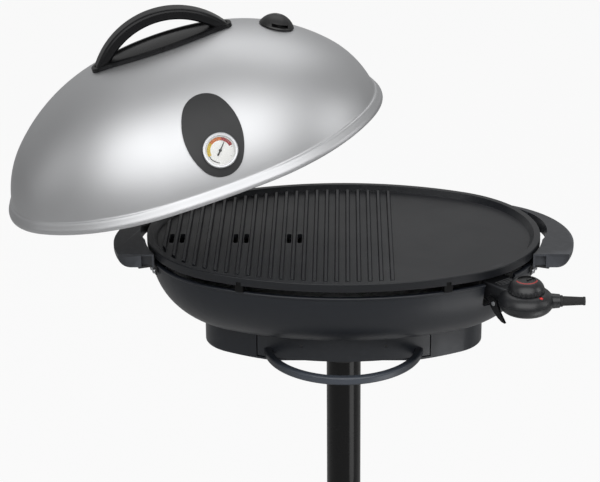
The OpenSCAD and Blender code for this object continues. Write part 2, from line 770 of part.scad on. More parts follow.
module grill_plate() color("#2f3033") at_rim() difference() {
  union() {
    oval_sweep(plate_a, plate_b, plate_end_r) union() {
      polygon([
        [0, -rim_round], [0, -skirt_h], [-skirt_t, -skirt_h], [-skirt_t, -skirt_t], [-rim_w, -skirt_t],
        [-rim_w - 3, deck_bottom], [-deck_in - lap, deck_bottom], [-deck_in - lap, deck_top],
        [-rim_w - rim_slope, deck_top],
        [-rim_w, 0], [-rim_round, 0], [-rim_round, -rim_round]
      ]);
      intersection() {
        translate([-rim_round, -rim_round]) circle(r = rim_round, $fn = 40);
        translate([-rim_round, -rim_round]) square(2 * rim_round);
      }
    }
    translate([0, 0, deck_bottom]) linear_extrude(deck_t) difference() {
      plate_oval_2d(deck_in + lap / 2);
      for (i = slot_rows) translate([rib_x0 + (i + 0.5) * rib_pitch, slot_y]) slot_2d();
    }
    intersection() {
      for (i = [0 : rib_n - 1]) translate([rib_x0 + i * rib_pitch, 0, deck_top]) rotate([90, 0, 0])
        linear_extrude(2 * plate_b, center = true) rib_2d();
      translate([0, 0, deck_top - 2]) linear_extrude(20) plate_oval_2d(rib_in);
    }
  }
  both_ends() for (a = [-1, 1]) on_end(a * support_turn_end) support_notch(plate_end_r);
  both_ends() for (m = [0, 1]) mirror([0, m, 0]) on_back(support_turn_side) support_notch(plate_side_r);
}

bend_swell = 0.4;
clip_x = 60;
element_z = deck_bottom - fit - bend_swell - element_r;
element_turn = to_1000th(asin((pin_y + leg_bend) / (element_bend + leg_bend)));
leg_x = (element_bend + leg_bend) * cos(element_turn);

module element_arc(r, a0, a1, tube = element_r) {
  rotate_extrude(start = a0, angle = a1 - a0, $fn = 96) translate([r, 0]) circle(r = tube, $fn = 32);
}

module heating_element() color("#4b4743") at_rim() translate([0, 0, element_z]) {
  on_end(0) {
    element_arc(element_bend, -90, -plug_turn - element_turn + 1.3);
    element_arc(element_bend, -plug_turn + element_turn - 1.3, 90);
  }
  translate([-plate_c, 0, 0]) element_arc(element_bend, 90, 270);
  for (s = [-1, 1]) translate([0, s * element_bend, 0]) bar_x(-plate_c, plate_c, element_r);
  on_end(-plug_turn) for (m = [0, 1]) mirror([0, m, 0]) {
    translate([leg_x, pin_y + leg_bend, 0])
      element_arc(leg_bend, 180 + element_turn, 270, element_r + bend_swell);
    translate([0, pin_y, 0]) bar_x(leg_x - 2, block_x + 6, element_r);
  }
}

module element_clips() color("#8d9094") at_rim() for (x = [-clip_x, clip_x], s = [-1, 1])
  translate([x, s * element_bend, 0]) difference() {
    translate([-7, -element_r - 6, element_z - element_r - 1.8])
      cube([14, 2 * element_r + 12, deck_bottom - fit - element_z + element_r + 1.8]);
    translate([0, 0, element_z]) bar_x(-20, 20, element_r + 0.2);
    translate([-10, -element_r - 0.2, element_z]) cube([20, 2 * element_r + 0.4, 30]);
  }

module plug_socket() color("#26272a") at_plug() difference() {
  translate([block_x, -block_w / 2, block_bottom]) cube([block_l, block_w, deck_bottom - fit - block_bottom]);
  for (s = [-1, 1]) {
    translate([0, s * pin_y, plug_z]) bar_x(block_x + 8, block_x + block_l + 1, pin_r + 0.1);
    translate([0, s * pin_y, element_z]) bar_x(block_x - 1, block_x + 6 + fit, element_r + 0.2);
    translate([block_x + 20, s * 19, block_bottom - 1])
      cylinder(h = 2 * plug_drop, r = screw_hole_r, $fn = 32);
  }
  translate([0, 0, plug_z]) bar_x(block_x - 1, block_x + block_l + 1, probe_r + 2 * fit);
}

module terminal_pins() color("#c9b27a") at_plug() for (s = [-1, 1]) translate([0, s * pin_y, plug_z]) {
  bar_x(block_x + 8.3, pin_out - pin_r, pin_r);
  translate([pin_out - pin_r, 0, 0]) sphere(r = pin_r, $fn = 32);
}

module plug_socket_screws() color("#8d9094") at_plug() for (s = [-1, 1])
  translate([block_x + 20, s * 19, block_bottom]) screw(deck_bottom - fit - block_bottom);

// --- Lid, in its closed place; lid_place() puts it where it is lifted to ---

module lid_place() at_rim() translate(lift_pivot) rotate(a = lift_angle, v = lift_axis)
  translate(-lift_pivot) children();

// One quarter's arcs as a thin band, drawn from the long axis (x) towards the side (y)
module arc_band_2d(c, r, g0, g1) intersection() {
  shift(c) difference() {
    circle(r = r + g1, $fn = 360);
    circle(r = r + g0, $fn = 360);
  }
  children();
}

module dome_band_2d(g0, g1) {
  near1 = [dome_a - dome_end_r, 0];
  far1 = near1 + 300 * [cos(dome_end_to), sin(dome_end_to)];
  near2 = [dome_c2[0] - dome_c2[1] / tan(side_from), 0];
  far2 = near2 + 300 * [cos(side_from), sin(side_from)];
  for (m = [0, 1]) mirror([m, 0]) {
    arc_band_2d(near1, dome_end_r, g0, g1) polygon([near1, near1 + [30, 10], near1 + [300, 10], far1]);
    arc_band_2d(dome_c2, dome_r2, g0, g1) polygon([near1, far1, far2, near2]);
  }
  arc_band_2d([0, dome_c3], dome_r3, g0, g1) polygon([near2, far2, [-far2[0], far2[1]], [-near2[0], 0]]);
}

// The dome is its long section turned about its long axis
module dome_band(g0, g1, low) intersection() {
  translate([0, 0, dome_axis_z]) rotate([90, 0, 90]) rotate_extrude(angle = 180, $fn = 240)
    rotate(-90) dome_band_2d(g0, g1);
  translate([-lid_a, -lid_b, low]) cube([2 * lid_a, 2 * lid_b, 2 * lid_h]);
}

// Sweeps a profile round the lid's plan, x outwards from the outline
module lid_sweep() {
  for (m = [0, 1]) mirror([m, 0, 0]) {
    translate([lid_a - lid_end_r, 0, 0]) rotate_extrude(start = -end_to, angle = 2 * end_to, $fn = 180)
      translate([lid_end_r, 0]) children();
    for (n = [0, 1]) mirror([0, n, 0]) shift(concat(lip_c2, [0]))
      rotate_extrude(start = end_to, angle = side_from - end_to, $fn = 240) shift([lip_r2, 0]) children();
  }
  for (n = [0, 1]) mirror([0, n, 0]) shift([0, lip_c2[1] + (lip_r2 - lip_r3) * sin(side_from), 0])
    rotate_extrude(start = side_from, angle = 180 - 2 * side_from, $fn = 720) shift([lip_r3, 0]) children();
}

module lip_2d() polygon([
  [-lip_w - 4.5, lip_h + 1], [-lip_w + 3, lip_h - 2], [-2.5, lip_h - 8], [-0.6, lip_h - 10.5],
  [0, lip_h - 13.5], [0, lip_gap + 0.8],
  [-0.6, lip_gap], [-lid_t + 0.4, lip_gap], [-lid_t, lip_gap + 0.8], [-lid_t, lip_h - 13],
  [-4.5, lip_h - 9.5],
  [-lip_w + 0.5, lip_h - 4.5], [-lip_w - 4.5, lip_h - 2]
]);

module lid_shell() color("#c2c4c6") lid_place() difference() {
  union() {
    dome_band(-lid_t, 0, lip_h - 3.2);
    lid_sweep() lip_2d();
  }
  for (s = [-1, 1]) translate([s * handle_screw_x, 0, lid_h - lid_bore])
    cylinder(h = lid_bore + 20, r = screw_hole_r, $fn = 32);
  gauge_frame() translate([0, 0, -lid_bore / 2]) cylinder(h = lid_bore, r = stem_r + fit, $fn = 32);
  vent_frame() {
    translate([0, 0, -lid_bore / 2]) cylinder(h = lid_bore, r = 2.7, $fn = 32);
    for (a = [0 : 90 : 270]) rotate([0, 0, a]) translate([vent_hole_ring, 0, -lid_bore / 2])
      cylinder(h = lid_bore, r = vent_hole_r, $fn = 40);
  }
}

module foot_eye_2d(inset) { oval_2d(arch_foot, foot_plate_b, 13, inset); }

module lid_handle() color("#17181a") lid_place() difference() {
  union() {
    difference() {
      translate([0, 0, arch_z]) rotate([90, 0, 0]) rotate([0, 0, 24]) rotate_extrude(angle = 132, $fn = 120)
        translate([arch_r - arch_h / 2, 0]) rounded_2d(arch_h, arch_w, 5);
      dome_band(-30, 2, lip_h);
    }
    difference() {
      intersection() {
        dome_band(fit, foot_rise, lip_h);
        translate([0, 0, lid_h - lid_bore]) linear_extrude(lid_bore + 40) foot_eye_2d(0);
      }
      intersection() {
        dome_band(foot_dish, foot_rise + 3, lip_h);
        translate([0, 0, lid_h - lid_bore]) linear_extrude(lid_bore + 40) foot_eye_2d(foot_edge);
      }
    }
  }
  for (s = [-1, 1]) translate([s * handle_screw_x, 0, lid_h - lid_bore])
    cylinder(h = lid_bore - 2, r = screw_r + 0.05, $fn = 32);
}

handle_screw_z = dome_top(handle_screw_x) - lid_t - 1.2;

module lid_handle_screws() color("#8d9094") lid_place() for (s = [-1, 1])
  translate([s * handle_screw_x, 0, handle_screw_z]) screw(lid_h - 2.5 - handle_screw_z);

// Frames on the dome: the thermometer's face and the vent cap look along +Z of them
module gauge_frame() translate(dome_front(gauge_x, gauge_up)) rotate([90 - gauge_up, 0, 0]) children();
module vent_frame() translate([vent_x, 0, dome_top(vent_x)]) rotate([0, vent_tilt, 0]) children();

module gauge_plate() color("#36383b") lid_place() difference() {
  intersection() {
    dome_band(fit, gauge_plate_t, lip_h);
    translate(dome_front(gauge_x - 2, gauge_plate_up)) rotate([90 - gauge_plate_up, 0, 0])
      translate([0, 0, -40])
      linear_extrude(80) rotate(90) oval_2d(gauge_plate_a, gauge_plate_b, 33);
  }
  gauge_frame() translate([0, 0, -30]) cylinder(h = 60, r = gauge_can_r + fit, $fn = 96);
}

module gauge_case() color("#d7d9db") lid_place() gauge_frame() difference() {
  union() {
    translate([0, 0, 0.5]) cylinder(h = gauge_h - 1, r = gauge_can_r, $fn = 96);
    translate([0, 0, gauge_plate_t + 1.2]) rotate_extrude($fn = 120) union() {
      translate([gauge_face_r - 1, 0]) square([gauge_r - gauge_face_r - 0.5, gauge_h - gauge_plate_t - 1.2]);
      translate([gauge_r - 1.9, 1.9]) circle(r = 1.9, $fn = 32);
    }
  }
  translate([0, 0, 2]) cylinder(h = gauge_h, r = gauge_face_r, $fn = 96);
  translate([0, 0, -1]) cylinder(h = 10, r = stem_r - 1 + fit, $fn = 32);
}

module gauge_dial() color("#e9e9e6") lid_place() gauge_frame() translate([0, 0, 2]) difference() {
  cylinder(h = 0.8, r = gauge_face_r - 0.1, $fn = 96);
  translate([0, 0, -1]) cylinder(h = 3, r = stem_r - 1 + fit, $fn = 32);
}

module gauge_needle() color("#101113") lid_place() gauge_frame() rotate([0, 0, -43]) translate([0, 0, 3.4]) {
  cylinder(h = 1, r = 2, $fn = 32);
  translate([0, 0, -0.9]) cylinder(h = 1, r = 1, $fn = 32);
  linear_extrude(0.6) polygon([[-0.9, 0], [0.9, 0], [0.35, gauge_face_r - 7], [-0.35, gauge_face_r - 7]]);
  linear_extrude(0.6) polygon([[-0.8, 0], [0.8, 0], [1.3, -8], [-1.3, -8]]);
}

module gauge_glass() color("#dfe8ec") lid_place() gauge_frame() translate([0, 0, gauge_h - 2])
  cylinder(h = 1.2, r = gauge_face_r - 0.1, $fn = 96);

module gauge_stem() color("#b5b8bb") lid_place() gauge_frame() {
  translate([0, 0, -stem_l]) cylinder(h = stem_l + 0.2, r = stem_r, $fn = 32);
  cylinder(h = 2.1, r = stem_r - 1, $fn = 32);
}

module gauge_nut() color("#8d9094") lid_place() gauge_frame() translate([0, 0, -lid_t - 5]) difference() {
  cylinder(h = 4, r = 8, $fn = 6);
  translate([0, 0, -1]) cylinder(h = 8, r = stem_r + 0.1, $fn = 32);
}

module vent_cap() color("#1a1b1d") lid_place() vent_frame() translate([0, 0, 0.5]) difference() {
  intersection() {
    translate([0, 0, vent_h - vent_ball_r]) sphere(r = vent_ball_r, $fn = 96);
    cylinder(h = vent_h + 1, r = vent_r + 1, $fn = 96);
  }
  difference() {
    translate([0, 0, vent_floor]) cylinder(h = vent_room_h, r = vent_r - 8, $fn = 72);
    cylinder(h = vent_h, r = 5, $fn = 48);
  }
  translate([0, 0, 2]) intersection() {
    difference() {
      cylinder(h = 4, r = vent_r + 2, $fn = 72);
      translate([0, 0, -1]) cylinder(h = 6, r = vent_r - 9, $fn = 72);
    }
    for (s = [0, 180]) rotate([0, 0, s]) translate([-12, -vent_r - 5, 0]) cube([24, vent_r, 4]);
  }
  for (a = [0 : 90 : 270]) rotate([0, 0, a]) translate([vent_hole_ring, 0, -1])
    cylinder(h = 4, r = vent_hole_r, $fn = 40);
  translate([0, 0, -1]) cylinder(h = vent_h + 3, r = 2.5 + fit, $fn = 32);
  translate([0, 0, vent_h - vent_sink]) cylinder(h = vent_sink + 2, r = vent_head_r + fit, $fn = 48);
}

module vent_rivet() color("#b5b8bb") lid_place() vent_frame() {
  translate([0, 0, -6]) cylinder(h = 7 + vent_h - vent_sink, r = 2.5, $fn = 32);
  translate([0, 0, vent_h - vent_sink + 0.5 + fit]) cylinder(h = vent_head_h, r = vent_head_r, $fn = 32);
  translate([0, 0, -7]) cylinder(h = 1.6, r = 4.5, $fn = 32);
}

// --- Thermostat plug ---

module plug_form(shrink) {
  translate([knob_x, 0, plug_z - 1]) rotate_extrude($fn = 120) union() {
    translate([plug_r - plug_rim_r, 0]) circle(r = plug_rim_r - shrink, $fn = 72);
    translate([0, -plug_rim_r + shrink]) square([plug_r - plug_rim_r, 2 * (plug_rim_r - shrink)]);
  }
  translate([neck_x + shrink, 0, plug_z]) rotate([90, 0, 90]) linear_extrude(knob_x - neck_x - shrink - 12)
    rounded_2d(neck_w - 2 * shrink, neck_h - 2 * shrink, neck_r);
  translate([knob_x, 0, plug_z - 1]) rotate([0, 0, plug_turn]) rotate([0, 90, 0])
    cylinder(h = tail_x - shrink, r1 = plug_rim_r - 1 - shrink, r2 = tail_r + 1.5 - shrink, $fn = 72);
}

module plug_shell() difference() {
  union() {
    difference() {
      plug_form(0);
      plug_form(plug_t);
    }
    for (s = [-1, 1]) translate([knob_x, s * boss_y, plug_z - plug_rim_r + 1])
      cylinder(h = 2 * plug_rim_r - 5, r = 4, $fn = 40);
  }
  translate([0, 0, plug_z]) bar_x(neck_x - 1, neck_x + 10, probe_r + fit);
  for (s = [-1, 1]) {
    translate([0, s * pin_y, plug_z]) bar_x(neck_x - 1, neck_x + 10, sleeve_r + fit);
    translate([knob_x, s * boss_y, plug_z - 30]) cylinder(h = 40, r = plug_screw_r + 0.1, $fn = 32);
    translate([knob_x, s * boss_y, plug_z - 30]) cylinder(h = 30 - plug_seat, r = 3.3, $fn = 40);
  }
  translate([knob_x, 0, plug_z]) cylinder(h = 30, r = 3 + fit, $fn = 40);
  translate([lens_x, 0, plug_z]) cylinder(h = 30, r = lens_r + 0.1, $fn = 40);
  translate([knob_x, 0, plug_z - 1]) rotate([0, 0, plug_turn]) bar_x(tail_x - 6, tail_x + 4, 5.5 + fit, 48);
  translate([lever_x, -neck_w / 2 - 5, lever_z]) rotate([-90, 0, 0])
    cylinder(h = 15, r = lever_pin_r + 0.1, $fn = 32);
}

// Block that holds everything of the plug above or below its joint line
module case_half(z) {
  translate([neck_x - 10, -2 * plug_r, z])
    cube([knob_x - neck_x + 2 * plug_r + 30, 4 * plug_r, case_h]);
}

module plug_top() color("#2c2d30") at_plug() {
  intersection() {
    plug_shell();
    case_half(plug_z + seam / 2);
  }
  for (i = [0 : 3]) translate([neck_x + 17 + 4 * i, -neck_w / 2 + 6, plug_z + neck_h / 2 - 0.3])
    rotate([-90, 0, 0]) cylinder(h = neck_w - 12, r = 1.1, $fn = 32);
}

module plug_bottom() color("#2c2d30") at_plug() intersection() {
  plug_shell();
  case_half(plug_z - case_h - seam / 2);
}

module contact_sleeves() color("#c9b27a") at_plug() for (s = [-1, 1])
  translate([0, s * pin_y, plug_z]) difference() {
  bar_x(neck_x + 0.5, switch_x - fit, sleeve_r);
  bar_x(neck_x - 1, pin_out + 4, pin_r + fit);
}

module probe_rod() color("#b5b8bb") at_plug() translate([0, 0, plug_z]) {
  bar_x(probe_x + probe_r, switch_x - fit, probe_r);
  translate([probe_x + probe_r, 0, 0]) sphere(r = probe_r, $fn = 40);
}

module thermostat_switch() color("#7d6a4a") at_plug() translate([switch_x, -17.5, plug_z - 10])
  cube([32, 35, 17]);

module indicator_lens() color("#c0221c") at_plug() translate([lens_x, 0, 0]) {
  translate([0, 0, plug_z + 3]) cylinder(h = plug_top_z - 1.6 - plug_z - 3, r = lens_r, $fn = 40);
  translate([0, 0, plug_top_z - 1.6]) intersection() {
    translate([0, 0, -lens_r]) sphere(r = lens_r * sqrt(2), $fn = 48);
    cylinder(h = 4, r = lens_r, $fn = 40);
  }
}

module plug_screws() color("#8d9094") at_plug() for (s = [-1, 1])
  translate([knob_x, s * boss_y, plug_z - plug_seat]) screw(16, plug_screw_r, 3, 2);

module strain_relief() color("#1c1d1f") at_plug() translate([knob_x, 0, plug_z - 1])
  rotate([0, 0, plug_turn]) difference() {
  union() {
    bar_x(tail_x - 5, tail_x + 1, 5.5, 48);
    bar_x(tail_x + 0.3, tail_x + 4, 8, 60);
    translate([tail_x + 3.5, 0, 0]) rotate([0, 90, 0])
      cylinder(h = relief_l - 3.5, r1 = 6.8, r2 = 5.4, $fn = 60);
    bar_x(tail_x + relief_l - 3, tail_x + relief_l, 6, 60);
  }
  bar_x(tail_x - 10, tail_x + relief_l + 2, cord_hole_r, 40);
}

module lever_pin() color("#d7d9db") at_plug() translate([lever_x, lever_y - lever_t / 2 - 1.6, lever_z])
  rotate([-90, 0, 0]) {
  cylinder(h = -lever_y - 14 + lever_t / 2, r = lever_pin_r, $fn = 32);
  cylinder(h = 1.3, r = 3.2, $fn = 40);
}

module release_lever() color("#232427") at_plug() translate([lever_x, lever_y + lever_t / 2, lever_z])
  rotate([90, 0, 0])
  difference() {
    linear_extrude(lever_t) polygon([
      [-14, 3], [-11, 8], [-4, 7], [4, 4], [7, -2], [12, -11],
      [22, -23], [16, -22.5], [8, -19], [-1, -12], [-8, -5]
    ]);
    translate([0, 0, -1]) cylinder(h = lever_t + 2, r = lever_pin_r + 0.25, $fn = 32);
  }

module control_knob() color("#1e1f21") at_plug() translate([knob_x, 0, knob_z]) difference() {
  union() {
    rotate_extrude($fn = 120) difference() {
      union() {
        intersection() {
          translate([knob_r - knob_edge_r, 0]) circle(r = knob_edge_r, $fn = 96);
          square([knob_r, knob_h]);
        }
        square([knob_r - knob_edge_r, knob_h]);
      }
      translate([0, knob_h - 2.4]) square([knob_face_r, 4]);
      square([3 + 0.02, knob_h - 6]);
    }
    translate([-1.1, 1, knob_h - 2.6]) cube([2.2, knob_face_r - 4, 1.6]);
  }
  for (i = [0 : 23]) rotate([0, 0, 15 * i]) translate([knob_r + 0.4, 0, -1])
    cylinder(h = knob_h - 6, r = 1.5, $fn = 24);
}

module knob_ring() color("#b3261e") at_plug() translate([knob_x, 0, knob_z + knob_h - 2.4])
  rotate([0, 0, -150])
  rotate_extrude(angle = 220, $fn = 96) translate([knob_face_r - 2.2, 0]) square([1.8, 0.9]);

module knob_shaft() color("#b5b8bb") at_plug() translate([knob_x, 0, 0]) {
  translate([0, 0, plug_z + 7 + fit]) cylinder(h = knob_z + knob_h - 6 - plug_z - 7 - fit, r = 3, $fn = 40);
}

base_bowl();
reflector_liner();
foot_ring();
foot_screws();
pole_socket();
socket_screws();
pole_screws();
pole_upper();
pole_coupler();
pole_lower();
base_cover();
base_weight();
base_plate();
base_bolt();
pole_plug();
rubber_feet();
left_handle();
right_handle();
handle_brackets();
handle_screws();
plate_supports();
drip_tray();
tray_front();
tray_rivets();
grill_plate();
heating_element();
element_clips();
plug_socket();
terminal_pins();
plug_socket_screws();
lid_shell();
lid_handle();
lid_handle_screws();
gauge_plate();
gauge_case();
gauge_dial();
gauge_glass();
gauge_stem();
gauge_nut();
gauge_needle();
vent_cap();
vent_rivet();
plug_top();
plug_bottom();
contact_sleeves();
probe_rod();
thermostat_switch();
indicator_lens();
plug_screws();
strain_relief();
lever_pin();
release_lever();
control_knob();
knob_ring();
knob_shaft();
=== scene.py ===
import math

import bmesh
import bpy
import numpy as np
from mathutils import Matrix, Vector


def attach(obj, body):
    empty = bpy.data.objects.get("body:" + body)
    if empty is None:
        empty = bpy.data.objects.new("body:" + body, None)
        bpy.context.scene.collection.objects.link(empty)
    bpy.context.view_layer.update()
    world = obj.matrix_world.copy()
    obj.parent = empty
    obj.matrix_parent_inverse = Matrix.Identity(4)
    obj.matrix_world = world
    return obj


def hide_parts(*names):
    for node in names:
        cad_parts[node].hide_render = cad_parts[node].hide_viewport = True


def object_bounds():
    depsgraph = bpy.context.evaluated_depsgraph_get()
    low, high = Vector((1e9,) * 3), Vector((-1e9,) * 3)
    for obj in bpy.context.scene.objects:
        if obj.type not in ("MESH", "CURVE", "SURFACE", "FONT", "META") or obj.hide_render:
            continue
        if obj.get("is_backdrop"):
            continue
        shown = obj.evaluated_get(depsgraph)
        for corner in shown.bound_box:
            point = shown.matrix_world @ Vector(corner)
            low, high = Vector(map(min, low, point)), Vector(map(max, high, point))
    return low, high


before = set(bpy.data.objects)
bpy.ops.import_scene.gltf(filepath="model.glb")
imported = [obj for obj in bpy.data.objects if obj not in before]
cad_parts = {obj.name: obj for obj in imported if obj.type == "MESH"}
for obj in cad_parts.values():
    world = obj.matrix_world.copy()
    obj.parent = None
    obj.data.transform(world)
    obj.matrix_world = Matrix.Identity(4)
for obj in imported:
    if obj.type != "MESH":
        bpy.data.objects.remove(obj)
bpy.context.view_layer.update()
RIM = 0.860  # the plate's rim above the floor


# --- Camera, floor and studio light ---
# A long lens looks 22 degrees down at the plate. The floor is pale and keeps a faint shadow, and a white
# backdrop stands behind. One large soft lamp is high in front, with weaker ones overhead, at both sides and
# low at the right, where it draws a bright line down the pole.
camera = bpy.data.objects.new("camera", bpy.data.cameras.new("camera"))
bpy.context.scene.collection.objects.link(camera)
bpy.context.scene.camera = camera
camera.data.lens, camera.data.sensor_width = 130.2, 36
camera.data.shift_x, camera.data.shift_y = -0.0728, -0.0173
look_down, distance = math.radians(22), 3.1
camera.location = (0, -distance * math.cos(look_down), RIM + distance * math.sin(look_down))
camera.rotation_euler = (math.radians(90) - look_down, 0, 0)
camera.data.clip_end = 60

floor_mesh = bpy.data.meshes.new("floor")
floor_mesh.from_pydata([(-14, -14, 0), (14, -14, 0), (14, 14, 0), (-14, 14, 0)], [], [(0, 1, 2, 3)])
studio_floor = bpy.data.objects.new("studio_floor", floor_mesh)
bpy.context.scene.collection.objects.link(studio_floor)
studio_floor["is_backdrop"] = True


def new_node(tree, kind, **values):
    """Adds a shader node; values are its settings and its inputs, by name."""
    made = tree.nodes.new(kind)
    for key, value in values.items():
        if key in made.inputs:
            made.inputs[key].default_value = value
        else:
            setattr(made, key, value)
    return made


def map_range(tree, low, high, to=(0.0, 1.0), **values):
    """A node that turns low to high into the two values in to."""
    return new_node(tree, "ShaderNodeMapRange", **values, **{
        "From Min": low, "From Max": high, "To Min": to[0], "To Max": to[1]})


def join(tree, pairs):
    """Links each pair of an output and an input."""
    for a, b in pairs:
        tree.links.new(a, b)


in_mirrors, in_camera = 0.06, 0.93  # how white the floor looks in shiny pieces and to the camera
pale = bpy.data.materials.new("pale_floor")
pale.use_nodes = True
tree = pale.node_tree
tree.nodes.clear()
rays = new_node(tree, "ShaderNodeLightPath")
matt = new_node(tree, "ShaderNodeBsdfDiffuse", Color=(0.50, 0.50, 0.50, 1))
white = new_node(tree, "ShaderNodeEmission", Color=(1, 1, 1, 1), Strength=1.0)
mirrored = new_node(tree, "ShaderNodeMath", operation="MAXIMUM")
in_metal = new_node(tree, "ShaderNodeMath", operation="MULTIPLY")
in_metal.inputs[1].default_value = in_mirrors
in_view = new_node(tree, "ShaderNodeMath", operation="MULTIPLY")
in_view.inputs[1].default_value = in_camera
seen = new_node(tree, "ShaderNodeMath", operation="MAXIMUM")
blend = new_node(tree, "ShaderNodeMixShader")
out = new_node(tree, "ShaderNodeOutputMaterial")
join(tree, [
    (rays.outputs["Is Glossy Ray"], mirrored.inputs[0]),
    (rays.outputs["Is Transmission Ray"], mirrored.inputs[1]), (mirrored.outputs[0], in_metal.inputs[0]),
    (rays.outputs["Is Camera Ray"], in_view.inputs[0]), (in_metal.outputs[0], seen.inputs[0]),
    (in_view.outputs[0], seen.inputs[1]), (seen.outputs[0], blend.inputs[0]),
    (matt.outputs[0], blend.inputs[1]), (white.outputs[0], blend.inputs[2]),
    (blend.outputs[0], out.inputs[0])])
floor_mesh.materials.append(pale)

world = bpy.data.worlds.new("studio")
bpy.context.scene.world = world
world.use_nodes = True
tree = world.node_tree
sky = tree.nodes["Background"]
rays = new_node(tree, "ShaderNodeLightPath")
direction = new_node(tree, "ShaderNodeTexCoord")
parts = new_node(tree, "ShaderNodeSeparateXYZ")
ramp = new_node(tree, "ShaderNodeValToRGB")
for stop, position, grey in zip(ramp.color_ramp.elements, (0.42, 0.9), (0.11, 0.36)):
    stop.position, stop.color = position, (grey, grey, grey, 1)
half = new_node(tree, "ShaderNodeMath", operation="MULTIPLY_ADD")
half.inputs[1].default_value = half.inputs[2].default_value = 0.5
mix = new_node(tree, "ShaderNodeMix", data_type="RGBA")
mix.inputs[7].default_value = (1, 1, 1, 1)
mirrored = new_node(tree, "ShaderNodeMath", operation="MAXIMUM")
behind = map_range(tree, 0.1, 0.8, to=(0.0, 0.3), interpolation_type="SMOOTHSTEP")
backdrop = new_node(tree, "ShaderNodeMath", operation="MULTIPLY")
shown = new_node(tree, "ShaderNodeMath", operation="MAXIMUM")
join(tree, [
    (direction.outputs["Generated"], parts.inputs[0]), (parts.outputs["Z"], half.inputs[0]),
    (half.outputs[0], ramp.inputs[0]), (rays.outputs["Is Glossy Ray"], mirrored.inputs[0]),
    (rays.outputs["Is Transmission Ray"], mirrored.inputs[1]), (parts.outputs["Y"], behind.inputs["Value"]),
    (mirrored.outputs[0], backdrop.inputs[0]), (behind.outputs[0], backdrop.inputs[1]),
    (backdrop.outputs[0], shown.inputs[0]), (rays.outputs["Is Camera Ray"], shown.inputs[1]),
    (shown.outputs[0], mix.inputs[0]), (ramp.outputs["Color"], mix.inputs[6]),
    (mix.outputs[2], sky.inputs["Color"])])


def lamp(name, place, aim, size, power):
    """A soft lamp that looks at aim; size is its width and height in metres, power is in watts."""
    data = bpy.data.lights.new(name, "AREA")
    data.shape, data.size, data.size_y, data.energy = "RECTANGLE", size[0], size[1], power
    o = bpy.data.objects.new(name, data)
    bpy.context.scene.collection.objects.link(o)
    o.location = place
    o.rotation_euler = (Vector(aim) - Vector(place)).to_track_quat("-Z", "Y").to_euler()
    o.visible_camera = False


lamp("lamp_front", (-0.05, -2.9, 3.2), (0, 0, 0.95), (6.2, 3.6), 160)
lamp("lamp_overhead", (0.2, 1.2, 3.4), (0, 0, 0.9), (2.6, 1.6), 16)
lamp("lamp_left", (-3.0, -0.6, 1.6), (0, 0, 0.95), (1.0, 1.6), 4)
lamp("lamp_right", (3.0, -0.4, 1.8), (0, 0, 0.95), (1.0, 1.6), 14)
lamp("lamp_low", (0.66, -0.45, 0.27), (0, 0, 0.56), (0.42, 0.42), 1.2)
bpy.context.scene.view_settings.view_transform = "Standard"


# --- Floor base ---
# A round sheet-steel cover over a cast weight, closed from below by a thin disc and standing on rubber feet.
# The cover is powder coated in fine-textured black, the weight is bare grey iron.
def effect_group(name, inputs, outputs):
    """An empty node group with number inputs (name: default) and named outputs, and its two end nodes."""
    group = bpy.data.node_groups.new(name, "ShaderNodeTree")
    for key, default in inputs.items():
        group.interface.new_socket(key, in_out="INPUT", socket_type="NodeSocketFloat").default_value = default
    for key in outputs:
        group.interface.new_socket(key, in_out="OUTPUT", socket_type="NodeSocketFloat")
    return group, group.nodes.new("NodeGroupInput"), group.nodes.new("NodeGroupOutput")


# Leathery grain of moulded or powder-coated surfaces: small domed cells broken up by finer noise
moulded_grain, start, end = effect_group("moulded_grain", {"Scale": 900.0}, ["Height", "Tone"])
place = new_node(moulded_grain, "ShaderNodeTexCoord")
cells = new_node(moulded_grain, "ShaderNodeTexVoronoi", feature="SMOOTH_F1")
speck = new_node(moulded_grain, "ShaderNodeTexNoise", Detail=3.0, Roughness=0.6)
finer = new_node(moulded_grain, "ShaderNodeMath", operation="MULTIPLY")
finer.inputs[1].default_value = 2.3
both = new_node(moulded_grain, "ShaderNodeMath", operation="MULTIPLY_ADD")
both.inputs[1].default_value = 0.6
join(moulded_grain, [
    (place.outputs["Object"], cells.inputs["Vector"]), (place.outputs["Object"], speck.inputs["Vector"]),
    (start.outputs["Scale"], cells.inputs["Scale"]), (start.outputs["Scale"], finer.inputs[0]),
    (finer.outputs[0], speck.inputs["Scale"]), (speck.outputs["Fac"], both.inputs[0]),
    (cells.outputs["Distance"], both.inputs[2]), (both.outputs[0], end.inputs["Height"]),
    (speck.outputs["Fac"], end.inputs["Tone"])])

